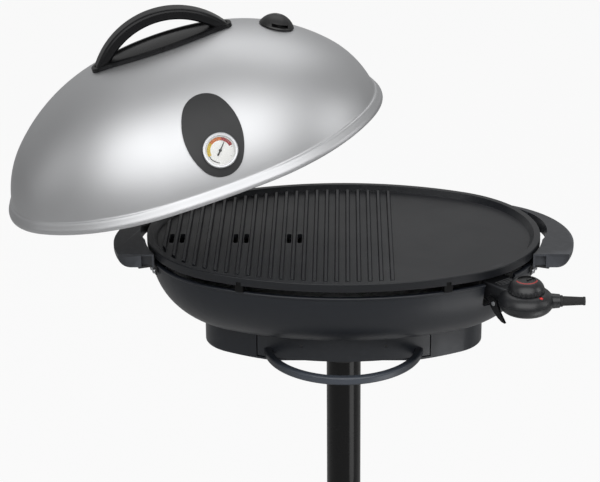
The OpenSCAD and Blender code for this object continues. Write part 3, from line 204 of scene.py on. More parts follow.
# Handling: soft smudges, and sparse hairline scratches that run every way
handling, start, end = effect_group(
    "handling_marks", {"Size": 9.0, "Scratch Scale": 60.0}, ["Smudge", "Scratch"])
place = new_node(handling, "ShaderNodeTexCoord")
cloud = new_node(handling, "ShaderNodeTexNoise", Detail=4.0, Roughness=0.55, Distortion=0.6)
bend_by = new_node(handling, "ShaderNodeTexNoise", Scale=14.0, Detail=1.0)
warp = new_node(handling, "ShaderNodeVectorMath", operation="MULTIPLY_ADD")
warp.inputs[1].default_value = (0.05, 0.05, 0.05)
lines = new_node(handling, "ShaderNodeTexVoronoi", feature="DISTANCE_TO_EDGE")
thin = map_range(handling, 0.0, 0.012, to=(1.0, 0.0))
patches = map_range(handling, 0.55, 0.68)
here = new_node(handling, "ShaderNodeMath", operation="MULTIPLY")
spread = map_range(handling, 0.35, 0.7)
join(handling, [
    (place.outputs["Object"], cloud.inputs["Vector"]), (start.outputs["Size"], cloud.inputs["Scale"]),
    (place.outputs["Object"], bend_by.inputs["Vector"]), (bend_by.outputs["Color"], warp.inputs[0]),
    (place.outputs["Object"], warp.inputs[2]), (warp.outputs[0], lines.inputs["Vector"]),
    (start.outputs["Scratch Scale"], lines.inputs["Scale"]),
    (lines.outputs["Distance"], thin.inputs["Value"]),
    (cloud.outputs["Fac"], patches.inputs["Value"]), (thin.outputs[0], here.inputs[0]),
    (patches.outputs[0], here.inputs[1]), (here.outputs[0], end.inputs["Scratch"]),
    (cloud.outputs["Fac"], spread.inputs["Value"]), (spread.outputs[0], end.inputs["Smudge"])])

# Worn edges: the mask is 1 on sharp outer edges and broken up by noise
worn_edges, start, end = effect_group("worn_edges", {"Low": 0.53, "High": 0.62}, ["Mask"])
shape = new_node(worn_edges, "ShaderNodeNewGeometry")
rub = new_node(worn_edges, "ShaderNodeTexNoise", Scale=120.0, Detail=5.0)
place = new_node(worn_edges, "ShaderNodeTexCoord")
shift = new_node(worn_edges, "ShaderNodeMath", operation="MULTIPLY_ADD")
shift.inputs[1].default_value, shift.inputs[2].default_value = 0.10, -0.05
total = new_node(worn_edges, "ShaderNodeMath", operation="ADD")
edge = new_node(worn_edges, "ShaderNodeMapRange")
join(worn_edges, [
    (place.outputs["Object"], rub.inputs["Vector"]), (rub.outputs["Fac"], shift.inputs[0]),
    (shift.outputs[0], total.inputs[0]), (shape.outputs["Pointiness"], total.inputs[1]),
    (total.outputs[0], edge.inputs["Value"]), (start.outputs["Low"], edge.inputs["From Min"]),
    (start.outputs["High"], edge.inputs["From Max"]), (edge.outputs[0], end.inputs["Mask"])])

# Drawn or brushed metal: noise whose lines run along the axis that has the smallest scale
drawn_metal, start, end = effect_group(
    "drawn_metal", {"Along X": 400.0, "Along Y": 400.0, "Along Z": 400.0}, ["Height", "Tone"])
place = new_node(drawn_metal, "ShaderNodeTexCoord")
pull = new_node(drawn_metal, "ShaderNodeCombineXYZ")
grainy = new_node(drawn_metal, "ShaderNodeVectorMath", operation="MULTIPLY")
streak = new_node(drawn_metal, "ShaderNodeTexNoise", Scale=1.0, Detail=3.0, Roughness=0.7)
join(drawn_metal, [
    (start.outputs["Along X"], pull.inputs[0]), (start.outputs["Along Y"], pull.inputs[1]),
    (start.outputs["Along Z"], pull.inputs[2]), (place.outputs["Object"], grainy.inputs[0]),
    (pull.outputs[0], grainy.inputs[1]), (grainy.outputs[0], streak.inputs["Vector"]),
    (streak.outputs["Fac"], end.inputs["Height"]), (streak.outputs["Fac"], end.inputs["Tone"])])


def new_finish(name, colour, roughness, metallic=0.0, **constants):
    """A finish with constant sockets, which constants names in small letters; effects are added later."""
    finish = bpy.data.materials.new(name)
    finish.use_nodes = True
    shader = finish.node_tree.nodes["Principled BSDF"]
    shader.inputs["Base Color"].default_value = (*colour, 1)
    shader.inputs["Roughness"].default_value = roughness
    shader.inputs["Metallic"].default_value = metallic
    for key, value in constants.items():
        shader.inputs[key.replace("_", " ").title().replace("Ior", "IOR")].default_value = value
    return finish


def effect(finish, group, **inputs):
    """Puts an effect group into a finish and returns its outputs."""
    made = finish.node_tree.nodes.new("ShaderNodeGroup")
    made.node_tree = group
    for key, value in inputs.items():
        made.inputs[key.replace("_", " ")].default_value = value
    return made.outputs


def tint(finish, mask, colour):
    """Mixes another colour into the base colour where the mask is 1."""
    tree, shader = finish.node_tree, finish.node_tree.nodes["Principled BSDF"]
    mix = new_node(tree, "ShaderNodeMix", data_type="RGBA")
    base = shader.inputs["Base Color"]
    if base.is_linked:
        tree.links.new(base.links[0].from_socket, mix.inputs[6])
    else:
        mix.inputs[6].default_value = base.default_value
    mix.inputs[7].default_value = (*colour, 1)
    join(tree, [(mask, mix.inputs[0]), (mix.outputs[2], base)])


def shift_value(finish, socket, mask, amount):
    """Adds amount times the mask to the roughness or the metallic value."""
    tree, shader = finish.node_tree, finish.node_tree.nodes["Principled BSDF"]
    add = new_node(tree, "ShaderNodeMath", operation="MULTIPLY_ADD", use_clamp=True)
    add.inputs[1].default_value = amount
    value = shader.inputs[socket]
    if value.is_linked:
        tree.links.new(value.links[0].from_socket, add.inputs[2])
    else:
        add.inputs[2].default_value = value.default_value
    join(tree, [(mask, add.inputs[0]), (add.outputs[0], value)])


def relief(finish, height, depth, invert=False):
    """Adds a bump of the given depth in metres."""
    tree, shader = finish.node_tree, finish.node_tree.nodes["Principled BSDF"]
    bump = new_node(tree, "ShaderNodeBump", Distance=depth, Strength=1.0, invert=invert)
    normal = shader.inputs["Normal"]
    if normal.is_linked:
        tree.links.new(normal.links[0].from_socket, bump.inputs["Normal"])
    join(tree, [(height, bump.inputs["Height"]), (bump.outputs[0], normal)])


def grained(name, colour, roughness, scale=900.0, depth=0.00005, edge=None, **constants):
    """Textured plastic, rubber or powder coat, with smudges and slightly paler edges."""
    finish = new_finish(name, colour, roughness, **constants)
    grain = effect(finish, moulded_grain, Scale=scale)
    marks = effect(finish, handling, Size=7.0, Scratch_Scale=45.0)
    wear = effect(finish, worn_edges)
    tint(finish, grain["Tone"], [0.72 * c for c in colour])
    tint(finish, wear["Mask"], edge or [1.7 * c + 0.01 for c in colour])
    shift_value(finish, "Roughness", marks["Smudge"], 0.10)
    shift_value(finish, "Roughness", wear["Mask"], -0.08)
    relief(finish, grain["Height"], depth)
    relief(finish, marks["Scratch"], 0.00003, invert=True)
    return finish


def glossy(name, colour, roughness, metallic=0.0, ripple=0.00002, dust=(0.25, 0.25, 0.26), **constants):
    """Gloss paint or polished plastic: a faint ripple, smudges, hairlines and a trace of dust."""
    finish = new_finish(name, colour, roughness, metallic, **constants)
    marks = effect(finish, handling, Size=11.0, Scratch_Scale=35.0)
    skin = effect(finish, moulded_grain, Scale=160.0)
    wear = effect(finish, worn_edges, Low=0.56, High=0.7)
    shift_value(finish, "Roughness", marks["Smudge"], 0.09)
    shift_value(finish, "Roughness", marks["Scratch"], 0.15)
    tint(finish, wear["Mask"], [0.8 * c + 0.2 * d for c, d in zip(colour, dust)])
    relief(finish, skin["Height"], ripple)
    relief(finish, marks["Scratch"], 0.00001, invert=True)
    return finish


def drawn(name, colour, roughness, along=(400.0, 400.0, 400.0)):
    """Bare rolled, drawn or turned metal with fine lines and smudges."""
    finish = new_finish(name, colour, roughness, 1.0)
    lines = effect(finish, drawn_metal, Along_X=along[0], Along_Y=along[1], Along_Z=along[2])
    marks = effect(finish, handling, Size=14.0, Scratch_Scale=70.0)
    tint(finish, lines["Tone"], [0.75 * c for c in colour])
    shift_value(finish, "Roughness", lines["Tone"], 0.12)
    shift_value(finish, "Roughness", marks["Smudge"], 0.08)
    relief(finish, lines["Height"], 0.00001)
    return finish


def place_mesh(name, mesh, body, finish, slot, *nodes):
    """Puts a finished mesh in the scene, riding on its body and standing for its CAD nodes."""
    piece = bpy.data.objects.new(name, mesh)
    bpy.context.scene.collection.objects.link(piece)
    mesh.materials.clear()
    mesh.materials.append(finish)
    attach(piece, body)
    if nodes:
        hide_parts(*nodes)


def welded(node):
    """A working copy of a CAD node's mesh with its faces joined along their shared edges."""
    work = bmesh.new()
    work.from_mesh(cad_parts[node].data)
    bmesh.ops.remove_doubles(work, verts=work.verts, dist=0.000004)
    return work


def refined(node, name, body, slot, finish, edge=0.0003, crease=32, steps=2):
    """A smooth-shaded copy of a CAD node with its sharp edges rounded by edge metres."""
    work = welded(node)
    bmesh.ops.dissolve_limit(work, angle_limit=math.radians(0.05), verts=work.verts, edges=work.edges)
    mesh = bpy.data.meshes.new(name)
    work.to_mesh(mesh)
    work.free()
    mesh.polygons.foreach_set("use_smooth", [True] * len(mesh.polygons))
    helper = bpy.data.objects.new(name + "_work", mesh)
    bpy.context.scene.collection.objects.link(helper)
    if edge:
        round_off = helper.modifiers.new("round_off", "BEVEL")
        round_off.width, round_off.segments = edge, steps
        round_off.limit_method, round_off.angle_limit = "ANGLE", math.radians(crease)
        round_off.use_clamp_overlap = True
    else:
        mesh.set_sharp_from_angle(angle=math.radians(crease))
    even = helper.modifiers.new("even_shading", "WEIGHTED_NORMAL")
    even.keep_sharp = True
    bpy.context.view_layer.update()
    made = bpy.data.meshes.new_from_object(helper.evaluated_get(bpy.context.evaluated_depsgraph_get()))
    bpy.data.objects.remove(helper)
    place_mesh(name, made, body, finish, slot, node)


def turned(name, rings, segments=48):
    """A closed mesh turned about Z from rings of (radius or radius at an angle, height)."""
    points, faces = [(0, 0, rings[0][1])], []
    for radius, z in rings:
        for i in range(segments):
            t = 2 * math.pi * i / segments
            r = radius(t) if callable(radius) else radius
            points.append((r * math.cos(t), r * math.sin(t), z))
    points.append((0, 0, rings[-1][1]))
    sides = [(i, (i + 1) % segments) for i in range(segments)]
    faces += [(0, 1 + j, 1 + i) for i, j in sides]
    for k in range(len(rings) - 1):
        a, b = 1 + k * segments, 1 + (k + 1) * segments
        faces += [(a + i, a + j, b + j, b + i) for i, j in sides]
    last = 1 + (len(rings) - 1) * segments
    faces += [(last + i, last + j, len(points) - 1) for i, j in sides]
    mesh = bpy.data.meshes.new(name)
    mesh.from_pydata(points, [], faces)
    mesh.polygons.foreach_set("use_smooth", [True] * len(mesh.polygons))
    mesh.set_sharp_from_angle(angle=math.radians(35))
    return mesh


def node_tree(name, inputs):
    """An empty geometry tree with named inputs (name: socket kind) and its end nodes."""
    made = bpy.data.node_groups.new(name, "GeometryNodeTree")
    made.is_modifier = True
    for key, kind in inputs.items():
        made.interface.new_socket(key, in_out="INPUT", socket_type="NodeSocket" + kind)
    made.interface.new_socket("Geometry", in_out="OUTPUT", socket_type="NodeSocketGeometry")
    return made, made.nodes.new("NodeGroupInput"), made.nodes.new("NodeGroupOutput")


def grown(name, base, tree, values):
    """The plain mesh that a geometry tree makes of a base mesh, its inputs set by their identifiers."""
    holder = bpy.data.objects.new(name + "_work", base)
    bpy.context.scene.collection.objects.link(holder)
    modifier = holder.modifiers.new("grow", "NODES")
    modifier.node_group = tree
    for item in tree.interface.items_tree:
        if item.item_type == "SOCKET" and item.in_out == "INPUT" and item.name in values:
            modifier[item.identifier] = values[item.name]
    bpy.context.view_layer.update()
    made = bpy.data.meshes.new_from_object(holder.evaluated_get(bpy.context.evaluated_depsgraph_get()))
    bpy.data.objects.remove(holder)
    return made


# Heads and shanks stand on points that carry each screw's direction and length
screw_tree, start, end = node_tree("screw_set", {
    "Places": "Geometry", "Head": "Object", "Shank": "Object", "Shank Radius": "Float", "Finish": "Material"})
facing = new_node(screw_tree, "GeometryNodeInputNamedAttribute", data_type="FLOAT_VECTOR", Name="facing")
length = new_node(screw_tree, "GeometryNodeInputNamedAttribute", data_type="FLOAT", Name="length")
aim = new_node(screw_tree, "FunctionNodeAlignRotationToVector", axis="Z")
stretch = new_node(screw_tree, "ShaderNodeCombineXYZ")
head_item = new_node(screw_tree, "GeometryNodeObjectInfo")
shank_item = new_node(screw_tree, "GeometryNodeObjectInfo")
heads = new_node(screw_tree, "GeometryNodeInstanceOnPoints")
shanks = new_node(screw_tree, "GeometryNodeInstanceOnPoints")
together = new_node(screw_tree, "GeometryNodeJoinGeometry")
realize = new_node(screw_tree, "GeometryNodeRealizeInstances")
paint = new_node(screw_tree, "GeometryNodeSetMaterial")
join(screw_tree, [
    (facing.outputs["Attribute"], aim.inputs["Vector"]), (start.outputs["Head"], head_item.inputs["Object"]),
    (start.outputs["Shank"], shank_item.inputs["Object"]), (start.outputs["Places"], heads.inputs["Points"]),
    (start.outputs["Places"], shanks.inputs["Points"]),
    (head_item.outputs["Geometry"], heads.inputs["Instance"]),
    (shank_item.outputs["Geometry"], shanks.inputs["Instance"]),
    (aim.outputs["Rotation"], heads.inputs["Rotation"]),
    (aim.outputs["Rotation"], shanks.inputs["Rotation"]), (start.outputs["Shank Radius"], stretch.inputs[0]),
    (start.outputs["Shank Radius"], stretch.inputs[1]), (length.outputs["Attribute"], stretch.inputs[2]),
    (stretch.outputs[0], shanks.inputs["Scale"]), (heads.outputs[0], together.inputs[0]),
    (shanks.outputs[0], together.inputs[0]), (together.outputs[0], realize.inputs[0]),
    (realize.outputs[0], paint.inputs["Geometry"]), (start.outputs["Finish"], paint.inputs["Material"]),
    (paint.outputs[0], end.inputs[0])])


def screws(node, name, body, finish):
    """The screws of a CAD node, found from its loose parts, with rounded heads and hexagon sockets."""
    work = welded(node)
    left, places, facings, lengths = set(work.verts), [], [], []
    while left:
        part, queue = [], [left.pop()]
        while queue:
            v = queue.pop()
            part.append(v.co[:])
            for e in v.link_edges:
                w = e.other_vert(v)
                if w in left:
                    left.remove(w)
                    queue.append(w)
        part = np.array(part)
        axis = np.linalg.eigh(np.cov((part - part.mean(0)).T))[1][:, -1]
        middle = part.mean(0)
        along = (part - middle) @ axis
        away = np.linalg.norm(part - middle - np.outer(along, axis), axis=1)
        wide = along[away > 0.93 * away.max()]  # where its head is
        if wide.mean() > (along.min() + along.max()) / 2:
            axis, along, wide = -axis, -along, -wide
        head_r, head_h, seat = away.max(), wide.max() - wide.min(), wide.max()
        shank_r = away[along > along.max() - 0.00002].max()  # at its tip
        places.append(tuple(middle + seat * axis))
        facings.append(axis)
        lengths.append(along.max() - seat)
    work.free()
    soft = 0.22 * head_h

    def hexagon(t):
        """The socket's radius at an angle."""
        return 0.5 * head_r * math.cos(math.pi / 6) / math.cos(t % (math.pi / 3) - math.pi / 6)

    head = bpy.data.objects.new(name + "_head", turned(name + "_head", [
        (hexagon, -0.5 * head_h), (hexagon, -head_h + 0.04 * head_h), (lambda t: 1.06 * hexagon(t), -head_h),
        (head_r - soft, -head_h), (head_r - 0.3 * soft, -head_h + 0.3 * soft), (head_r, -head_h + soft),
        (head_r, 0)]))
    shank = bpy.data.objects.new(name + "_shank", turned(name + "_shank", [(1, 0), (1, 0.96), (0.84, 1)], 32))
    for o in (head, shank):
        bpy.context.scene.collection.objects.link(o)
    base = bpy.data.meshes.new(name + "_places")
    base.from_pydata(places, [], [])
    carried = base.attributes.new("facing", "FLOAT_VECTOR", "POINT")
    carried.data.foreach_set("vector", np.array(facings).ravel())
    carried = base.attributes.new("length", "FLOAT", "POINT")
    carried.data.foreach_set("value", lengths)
    made = grown(name, base, screw_tree, {
        "Head": head, "Shank": shank, "Shank Radius": float(shank_r), "Finish": finish})
    for o in (head, shank):
        bpy.data.objects.remove(o)
    place_mesh(name, made, body, finish, "screw", node)


powder_coat = grained("powder_coat", (0.022, 0.0225, 0.024), 0.42, scale=1500.0, depth=0.00006)
raw_iron = grained("raw_iron", (0.12, 0.118, 0.115), 0.7, scale=500.0, depth=0.0002)
zinc_black = grained("zinc_black", (0.03, 0.03, 0.033), 0.4, scale=700.0)
black_rubber = grained("black_rubber", (0.014, 0.014, 0.0145), 0.75, scale=1100.0)
zinc_plate = drawn("zinc_plate", (0.52, 0.53, 0.55), 0.32)
refined("base_cover", "floor_cover", "base", "cover", powder_coat, edge=0.0012, crease=12, steps=3)
refined("base_weight", "cast_weight", "base", "weight", raw_iron, edge=0.001)
refined("base_plate", "closing_disc", "base", "base_sheet", zinc_black, edge=0.0004)
refined("pole_plug", "pole_anchor", "base", "weight", raw_iron)
screws("base_bolt", "anchor_bolt", "base", zinc_plate)
refined("rubber_feet", "floor_feet", "base", "rubber", black_rubber, edge=0.0006)


# --- Pole ---
# Two steel tubes in gloss black paint meet at a moulded coupler ring, which is pushed into both.
# The upper one stands in a moulded socket under the foot, held by two side screws.
gloss_paint = glossy("gloss_paint", (0.0018, 0.0018, 0.002), 0.22,
                     specular_ior_level=0.12, coat_weight=0.25, coat_roughness=0.04)
coupler_plastic = grained("coupler_plastic", (0.009, 0.009, 0.0095), 0.45, scale=1300.0)
refined("pole_upper", "upper_tube", "base", "pole", gloss_paint)
refined("pole_lower", "lower_tube", "base", "pole", gloss_paint)
refined("pole_coupler", "coupler_ring", "base", "coupler", coupler_plastic, edge=0.0005)
refined("pole_socket", "tube_socket", "base", "coupler", coupler_plastic, edge=0.0006)
screws("pole_screws", "tube_screws", "base", zinc_plate)
screws("socket_screws", "flange_screws", "base", zinc_plate)


# --- Bowl and foot ring ---
# Deep oval bowl of heat-proof plastic with a rolled bead round its rim, standing on an oval foot ring.
# Both are moulded in dark charcoal with a fine grain, and four long screws hold them together. A bright sheet
# liner lies in the bowl, and blocks carry the plate above it, coloured near black as painted shade of the
# gap.
charcoal = grained("charcoal_moulding", (0.0098, 0.0120, 0.0165), 0.34, scale=1200.0, depth=0.00004,
                   edge=(0.017, 0.020, 0.026), specular_ior_level=0.4)
rolled_sheet = drawn("rolled_sheet", (0.70, 0.71, 0.72), 0.22, along=(60.0, 900.0, 900.0))
refined("base_bowl", "oval_bowl", "base", "bowl", charcoal, edge=0.0005)
refined("foot_ring", "oval_foot", "base", "bowl", charcoal, edge=0.0007)
refined("reflector_liner", "sheet_liner", "base", "liner", rolled_sheet, edge=0)
# Painted shade: the support blocks are coloured near black so they read as the shadow in the gap under the
# plate.
shade_black = grained("painted_shade_moulding", (0.003, 0.003, 0.0032), 0.6, scale=1300.0,
                      edge=(0.005, 0.005, 0.0055), specular_ior_level=0.15)
refined("plate_supports", "support_blocks", "base", "socket", shade_black)
screws("foot_screws", "long_screws", "base", zinc_plate)


# --- Side handles ---
# Two wings moulded in a lighter grey stand out under the plate's ends, each with a slot for the fingers.
# Screws hold each of them on two black steel angles at the bowl.
wing_grey = grained("wing_moulding", (0.024, 0.0262, 0.0312), 0.36, scale=1200.0, depth=0.00004)
angle_steel = glossy("angle_steel", (0.018, 0.018, 0.019), 0.3)
refined("right_handle", "right_wing", "base", "handle", wing_grey, edge=0.0018, steps=3)
refined("left_handle", "left_wing", "base", "handle", wing_grey, edge=0.0018, steps=3)
refined("handle_brackets", "wing_angles", "base", "bracket", angle_steel, edge=0.0004)
screws("handle_screws", "wing_screws", "base", zinc_plate)


# --- Drip tray ---
# A pressed aluminium tray slides on two rails in the foot, riveted to a moulded front with a loop handle,
# whose bar carries a painted highlight: its colour is tinted paler towards the loop's front.
satin_sheet = drawn("satin_sheet", (0.58, 0.59, 0.61), 0.34, along=(60.0, 900.0, 900.0))
refined("drip_tray", "grease_tray", "tray", "tray", satin_sheet, edge=0.0006)
satin_charcoal = grained("satin_charcoal", (0.0098, 0.0120, 0.0165), 0.32, scale=1200.0, depth=0.00003,
                         edge=(0.017, 0.020, 0.026))
# Painted highlight: the loop bar's base colour ramps paler from the tray's face to the loop's front, standing
# in for lamp shine.
tree = satin_charcoal.node_tree
highlight_starts, highlight_full = -0.118, -0.165  # along Y, from the tray's face to the front of the loop
place = new_node(tree, "ShaderNodeTexCoord")
split = new_node(tree, "ShaderNodeSeparateXYZ")
painted_highlight = map_range(tree, highlight_starts, highlight_full)
join(tree, [(place.outputs["Object"], split.inputs[0]), (split.outputs[1], painted_highlight.inputs["Value"])])
tint(satin_charcoal, painted_highlight.outputs[0], (0.048, 0.056, 0.070))
refined("tray_front", "tray_face", "tray", "tray_front", satin_charcoal, edge=0.0007)
refined("tray_rivets", "tray_pins", "tray", "screw", angle_steel)


# --- Grill plate ---
# Cast aluminium plate with a dark non-stick coat: ribbed on the left, flat on the right, with grease slots.
# The heating tube is clipped under it, and the thermostat's socket is screwed to it at the right.
nonstick = grained("nonstick_coat", (0.0115, 0.0125, 0.0150), 0.30, scale=1400.0, depth=0.00004,
                   edge=(0.016, 0.0175, 0.021), specular_ior_level=0.32)
refined("grill_plate", "griddle", "cooking_plate", "plate", nonstick, edge=0.0006)
dark_sheath = drawn("dark_sheath", (0.16, 0.14, 0.12), 0.45)
bare_brass = drawn("bare_brass", (0.72, 0.56, 0.30), 0.28)
refined("heating_element", "heating_tube", "cooking_plate", "element", dark_sheath, edge=0)
refined("element_clips", "tube_clips", "cooking_plate", "screw", zinc_plate)
refined("plug_socket", "inlet_block", "cooking_plate", "socket", coupler_plastic, edge=0.0006)
refined("terminal_pins", "inlet_pins", "cooking_plate", "contact", bare_brass)
screws("plug_socket_screws", "inlet_screws", "cooking_plate", zinc_plate)


# --- Lid shell ---
# Deep-drawn aluminium dome with a satin finish, whose edge is rolled out into a bright lip and a hem.
# It is shaped closed on the plate, in millimetres from the rim, and then put where it is lifted to.
axis_aside, axis_up, lift_by = math.radians(10.1), math.radians(39.6), math.radians(20.5)
turn_axis = Vector((math.sin(axis_aside) * math.cos(axis_up),
                    -math.cos(axis_aside) * math.cos(axis_up), math.sin(axis_up)))
hinge_point = Vector((-472, 0, -696))
lifted = (Matrix.Translation((0, 0, RIM)) @ Matrix.Scale(0.001, 4) @ Matrix.Translation(hinge_point)
          @ Matrix.Rotation(lift_by, 4, turn_axis) @ Matrix.Translation(-hinge_point))


def three_arcs(a, b, r, to, side=85.0):
    """Quarter of an oval of three arcs: rows of (centre x, centre y, radius, end angle)."""
    s, t = math.radians(side), math.radians(to)
    k = 1 / math.cos(s) - math.tan(s)
    r2 = (b - r * math.sin(t) - k * (a - r + r * math.cos(t))) / (1 - math.sin(t) - k * math.cos(t))
    c2 = (a - r + (r - r2) * math.cos(t), (r - r2) * math.sin(t))
    r3 = r2 + c2[0] / math.cos(s)
    c3_y = c2[1] - math.sqrt((r3 - r2) ** 2 - c2[0] ** 2)
    return [(a - r, 0.0, r, to), (*c2, r2, side), (0.0, c3_y, r3, 90.0)]


LIP_WIDE = 190  # half the lip's width
DOME_WIDE, DOME_TOP, WALL = 186, 174, 2
lip_arcs = three_arcs(280, LIP_WIDE, 150, 40)
dome_arcs = three_arcs(274.5, DOME_WIDE, 148, 44)
AXIS_Z = DOME_TOP - DOME_WIDE  # the dome's long section turns about this height
starts = [0.0] + [arc[3] for arc in dome_arcs[:-1]]
from_crown = list(zip(dome_arcs, starts))[::-1]  # each arc and the angle that it starts at


def section_radius(x, wall=0.0):
    """Radius of the dome's round cross section at x, less the wall."""
    x = abs(x)
    for (cx, cy, r, _), start in from_crown:
        if x <= cx + r * math.cos(math.radians(start)):
            return cy + math.sqrt(max((r - wall) ** 2 - (x - cx) ** 2, 0))
    return 0.0


def outline(count):
    """Points and outward normals round the lip's plan, evenly spaced, from four mirrored quarters."""
    quarter, angle = [], 0.0
    for cx, cy, r, to in lip_arcs:
        for i in range(200):
            t = math.radians(angle + (to - angle) * i / 200)
            quarter.append((cx + r * math.cos(t), cy + r * math.sin(t), math.cos(t), math.sin(t)))
        angle = to
    quarter.append((0.0, LIP_WIDE, 0.0, 1.0))
    q = np.array(quarter)
    run = np.concatenate([[0], np.cumsum(np.hypot(np.diff(q[:, 0]), np.diff(q[:, 1])))])
    even = np.linspace(0, run[-1], count // 4 + 1)
    q = np.stack([np.interp(even, run, q[:, i]) for i in range(4)], 1)
    left, across, front = [-1, 1, -1, 1], [-1, -1, -1, -1], [1, -1, 1, -1]
    return np.concatenate([q[:-1], (q[::-1] * left)[:-1], q[:-1] * across, (q[::-1] * front)[:-1]])


def inset_at(point, height, wall=0.0):
    """How far inside the lip's outline the dome stands at a height, along the outline's normal."""
    low, high = 0.0, 60.0
    for _ in range(34):
        d = (low + high) / 2
        x, y = point[0] - d * point[2], point[1] - d * point[3]
        if section_radius(x, wall) ** 2 - y * y - (height - AXIS_Z) ** 2 < 0:
            low = d
        else:
            high = d
    return low


def rounded_line(points, passes=3):
    """Cuts the corners of a line of points, keeping its ends."""
    for _ in range(passes):
        cut = [points[0]]
        for a, b in zip(points[:-1], points[1:]):
            cut += [0.75 * a + 0.25 * b, 0.25 * a + 0.75 * b]
        points = cut + [points[-1]]
    return points


rim_line = outline(336)
JOIN_Z = 26.0  # the dome starts at this height
# The section goes down the outside, round the rolled lip and its hem, and up the inside. Its points are
# (outward from the outline, height).
rolled = [(-5.0, 14.9), (-2.4, 9.6), (-0.6, 6.6), (0, 4.2), (0, 1.0), (-1.0, 0.3),
          (-2.0, 1.0), (-2.0, 4.0), (-4.5, 7.5), (-7.2, 12.2)]
lip_rows = []
for p in rim_line:
    section = [(-inset_at(p, z), z) for z in (JOIN_Z, 21, 16.4)] + rolled
    section += [(-inset_at(p, z, WALL), z) for z in (14.2, 19, JOIN_Z)]
    section = rounded_line([np.array(c) for c in section])
    lip_rows.append([(p[0] + u * p[2], p[1] + u * p[3], z) for u, z in section])
lip_rows = np.array(lip_rows)


def dome_rings(edge, wall, rings):
    """Rings from the crown out to, and not including, the given edge ring."""
    top = math.acos((JOIN_Z - AXIS_Z) / DOME_WIDE)
    made = []
    for k in range(1, rings):
        s = math.sin(top * k / rings) / math.sin(top)
        ring = edge * [s, s, 0]
        ring[:, 2] = [AXIS_Z + math.sqrt(section_radius(x, wall) ** 2 - y * y) for x, y in ring[:, :2]]
        made.append(ring)
    return made


rings = dome_rings(lip_rows[:, 0], 0, 74) + [lip_rows[:, i] for i in range(lip_rows.shape[1])]
rings += dome_rings(lip_rows[:, -1], WALL, 40)[::-1]
count = len(rim_line)
points = [(0, 0, DOME_TOP)] + [tuple(p) for ring in rings for p in ring] + [(0, 0, DOME_TOP - WALL)]
faces = [(0, 1 + i, 1 + (i + 1) % count) for i in range(count)]
for k in range(len(rings) - 1):
    a, b = 1 + k * count, 1 + (k + 1) * count
    faces += [(a + i, b + i, b + (i + 1) % count, a + (i + 1) % count) for i in range(count)]
last = 1 + (len(rings) - 1) * count
faces += [(len(points) - 1, last + (i + 1) % count, last + i) for i in range(count)]
shell_mesh = bpy.data.meshes.new("lid_dome")
shell_mesh.from_pydata(points, [], faces)


# Places on the dome, in the lid's millimetres, whose Z leaves it
gauge_x, gauge_up = 22.0, math.radians(23.4)
r = section_radius(gauge_x)
GAUGE = (Matrix.Translation((gauge_x, -r * math.cos(gauge_up), AXIS_Z + r * math.sin(gauge_up)))
         @ Matrix.Rotation(math.radians(90) - gauge_up, 4, "X"))
vent_x = 163.0
middle_arc_x, _, middle_arc_r, _ = dome_arcs[1]
VENT = (Matrix.Translation((vent_x, 0, AXIS_Z + section_radius(vent_x)))
        @ Matrix.Rotation(math.asin((vent_x - middle_arc_x) / middle_arc_r), 4, "Y"))

screw_x, screw_r, stem_r, rivet_r, vent_ring, vent_hole_r, drill_long = 80, 2.2, 3.3, 2.7, 13, 5.0, 60
drills = bmesh.new()
holes = [(Matrix.Translation((s * screw_x, 0, 150)), screw_r) for s in (-1, 1)]
holes += [(GAUGE, stem_r), (VENT, rivet_r)]
for a in (0, 90, 180, 270):
    spot = VENT @ Matrix.Rotation(math.radians(a), 4, "Z") @ Matrix.Translation((vent_ring, 0, 0))
    holes.append((spot, vent_hole_r))
for spot, radius in holes:
    bmesh.ops.create_cone(drills, cap_ends=True, segments=40, radius1=radius, radius2=radius,
                          depth=drill_long, matrix=spot)
drill_mesh = bpy.data.meshes.new("drills")
drills.to_mesh(drill_mesh)
drills.free()
blank, drill = (bpy.data.objects.new(n, m) for n, m in (("lid_blank", shell_mesh), ("drill", drill_mesh)))
for o in (blank, drill):
    bpy.context.scene.collection.objects.link(o)
cut = blank.modifiers.new("holes", "BOOLEAN")
cut.operation, cut.object, cut.solver = "DIFFERENCE", drill, "EXACT"
bpy.context.view_layer.update()
lid_mesh = bpy.data.meshes.new_from_object(blank.evaluated_get(bpy.context.evaluated_depsgraph_get()))
for o in (blank, drill):
    bpy.data.objects.remove(o)
lid_mesh.transform(lifted)
lid_mesh.polygons.foreach_set("use_smooth", [True] * len(lid_mesh.polygons))
lid_mesh.set_sharp_from_angle(angle=math.radians(40))

satin_aluminium = new_finish("satin_aluminium", (0.56, 0.565, 0.575), 0.46, 1.0)
lines = effect(satin_aluminium, drawn_metal, Along_X=2600.0, Along_Y=2600.0, Along_Z=2600.0)
marks = effect(satin_aluminium, handling, Size=6.0, Scratch_Scale=30.0)
tint(satin_aluminium, lines["Tone"], (0.50, 0.505, 0.515))
shift_value(satin_aluminium, "Roughness", marks["Smudge"], 0.04)
relief(satin_aluminium, lines["Height"], 0.000012)
place_mesh("domed_lid", lid_mesh, "lid", satin_aluminium, "lid", "lid_shell")


# --- Lid handle ---
# A black moulding with a soft gloss: an arch that flows into a long pointed foot with a raised edge.
# Two screws hold it through the lid.
gloss_black = glossy("gloss_black_plastic", (0.0055, 0.0056, 0.0062), 0.24, dust=(0.03, 0.03, 0.032),
                     specular_ior_level=0.22)
refined("lid_handle", "arched_handle", "lid", "lid_handle", gloss_black, edge=0.0022, crease=28, steps=4)
screws("lid_handle_screws", "arch_screws", "lid", zinc_plate)


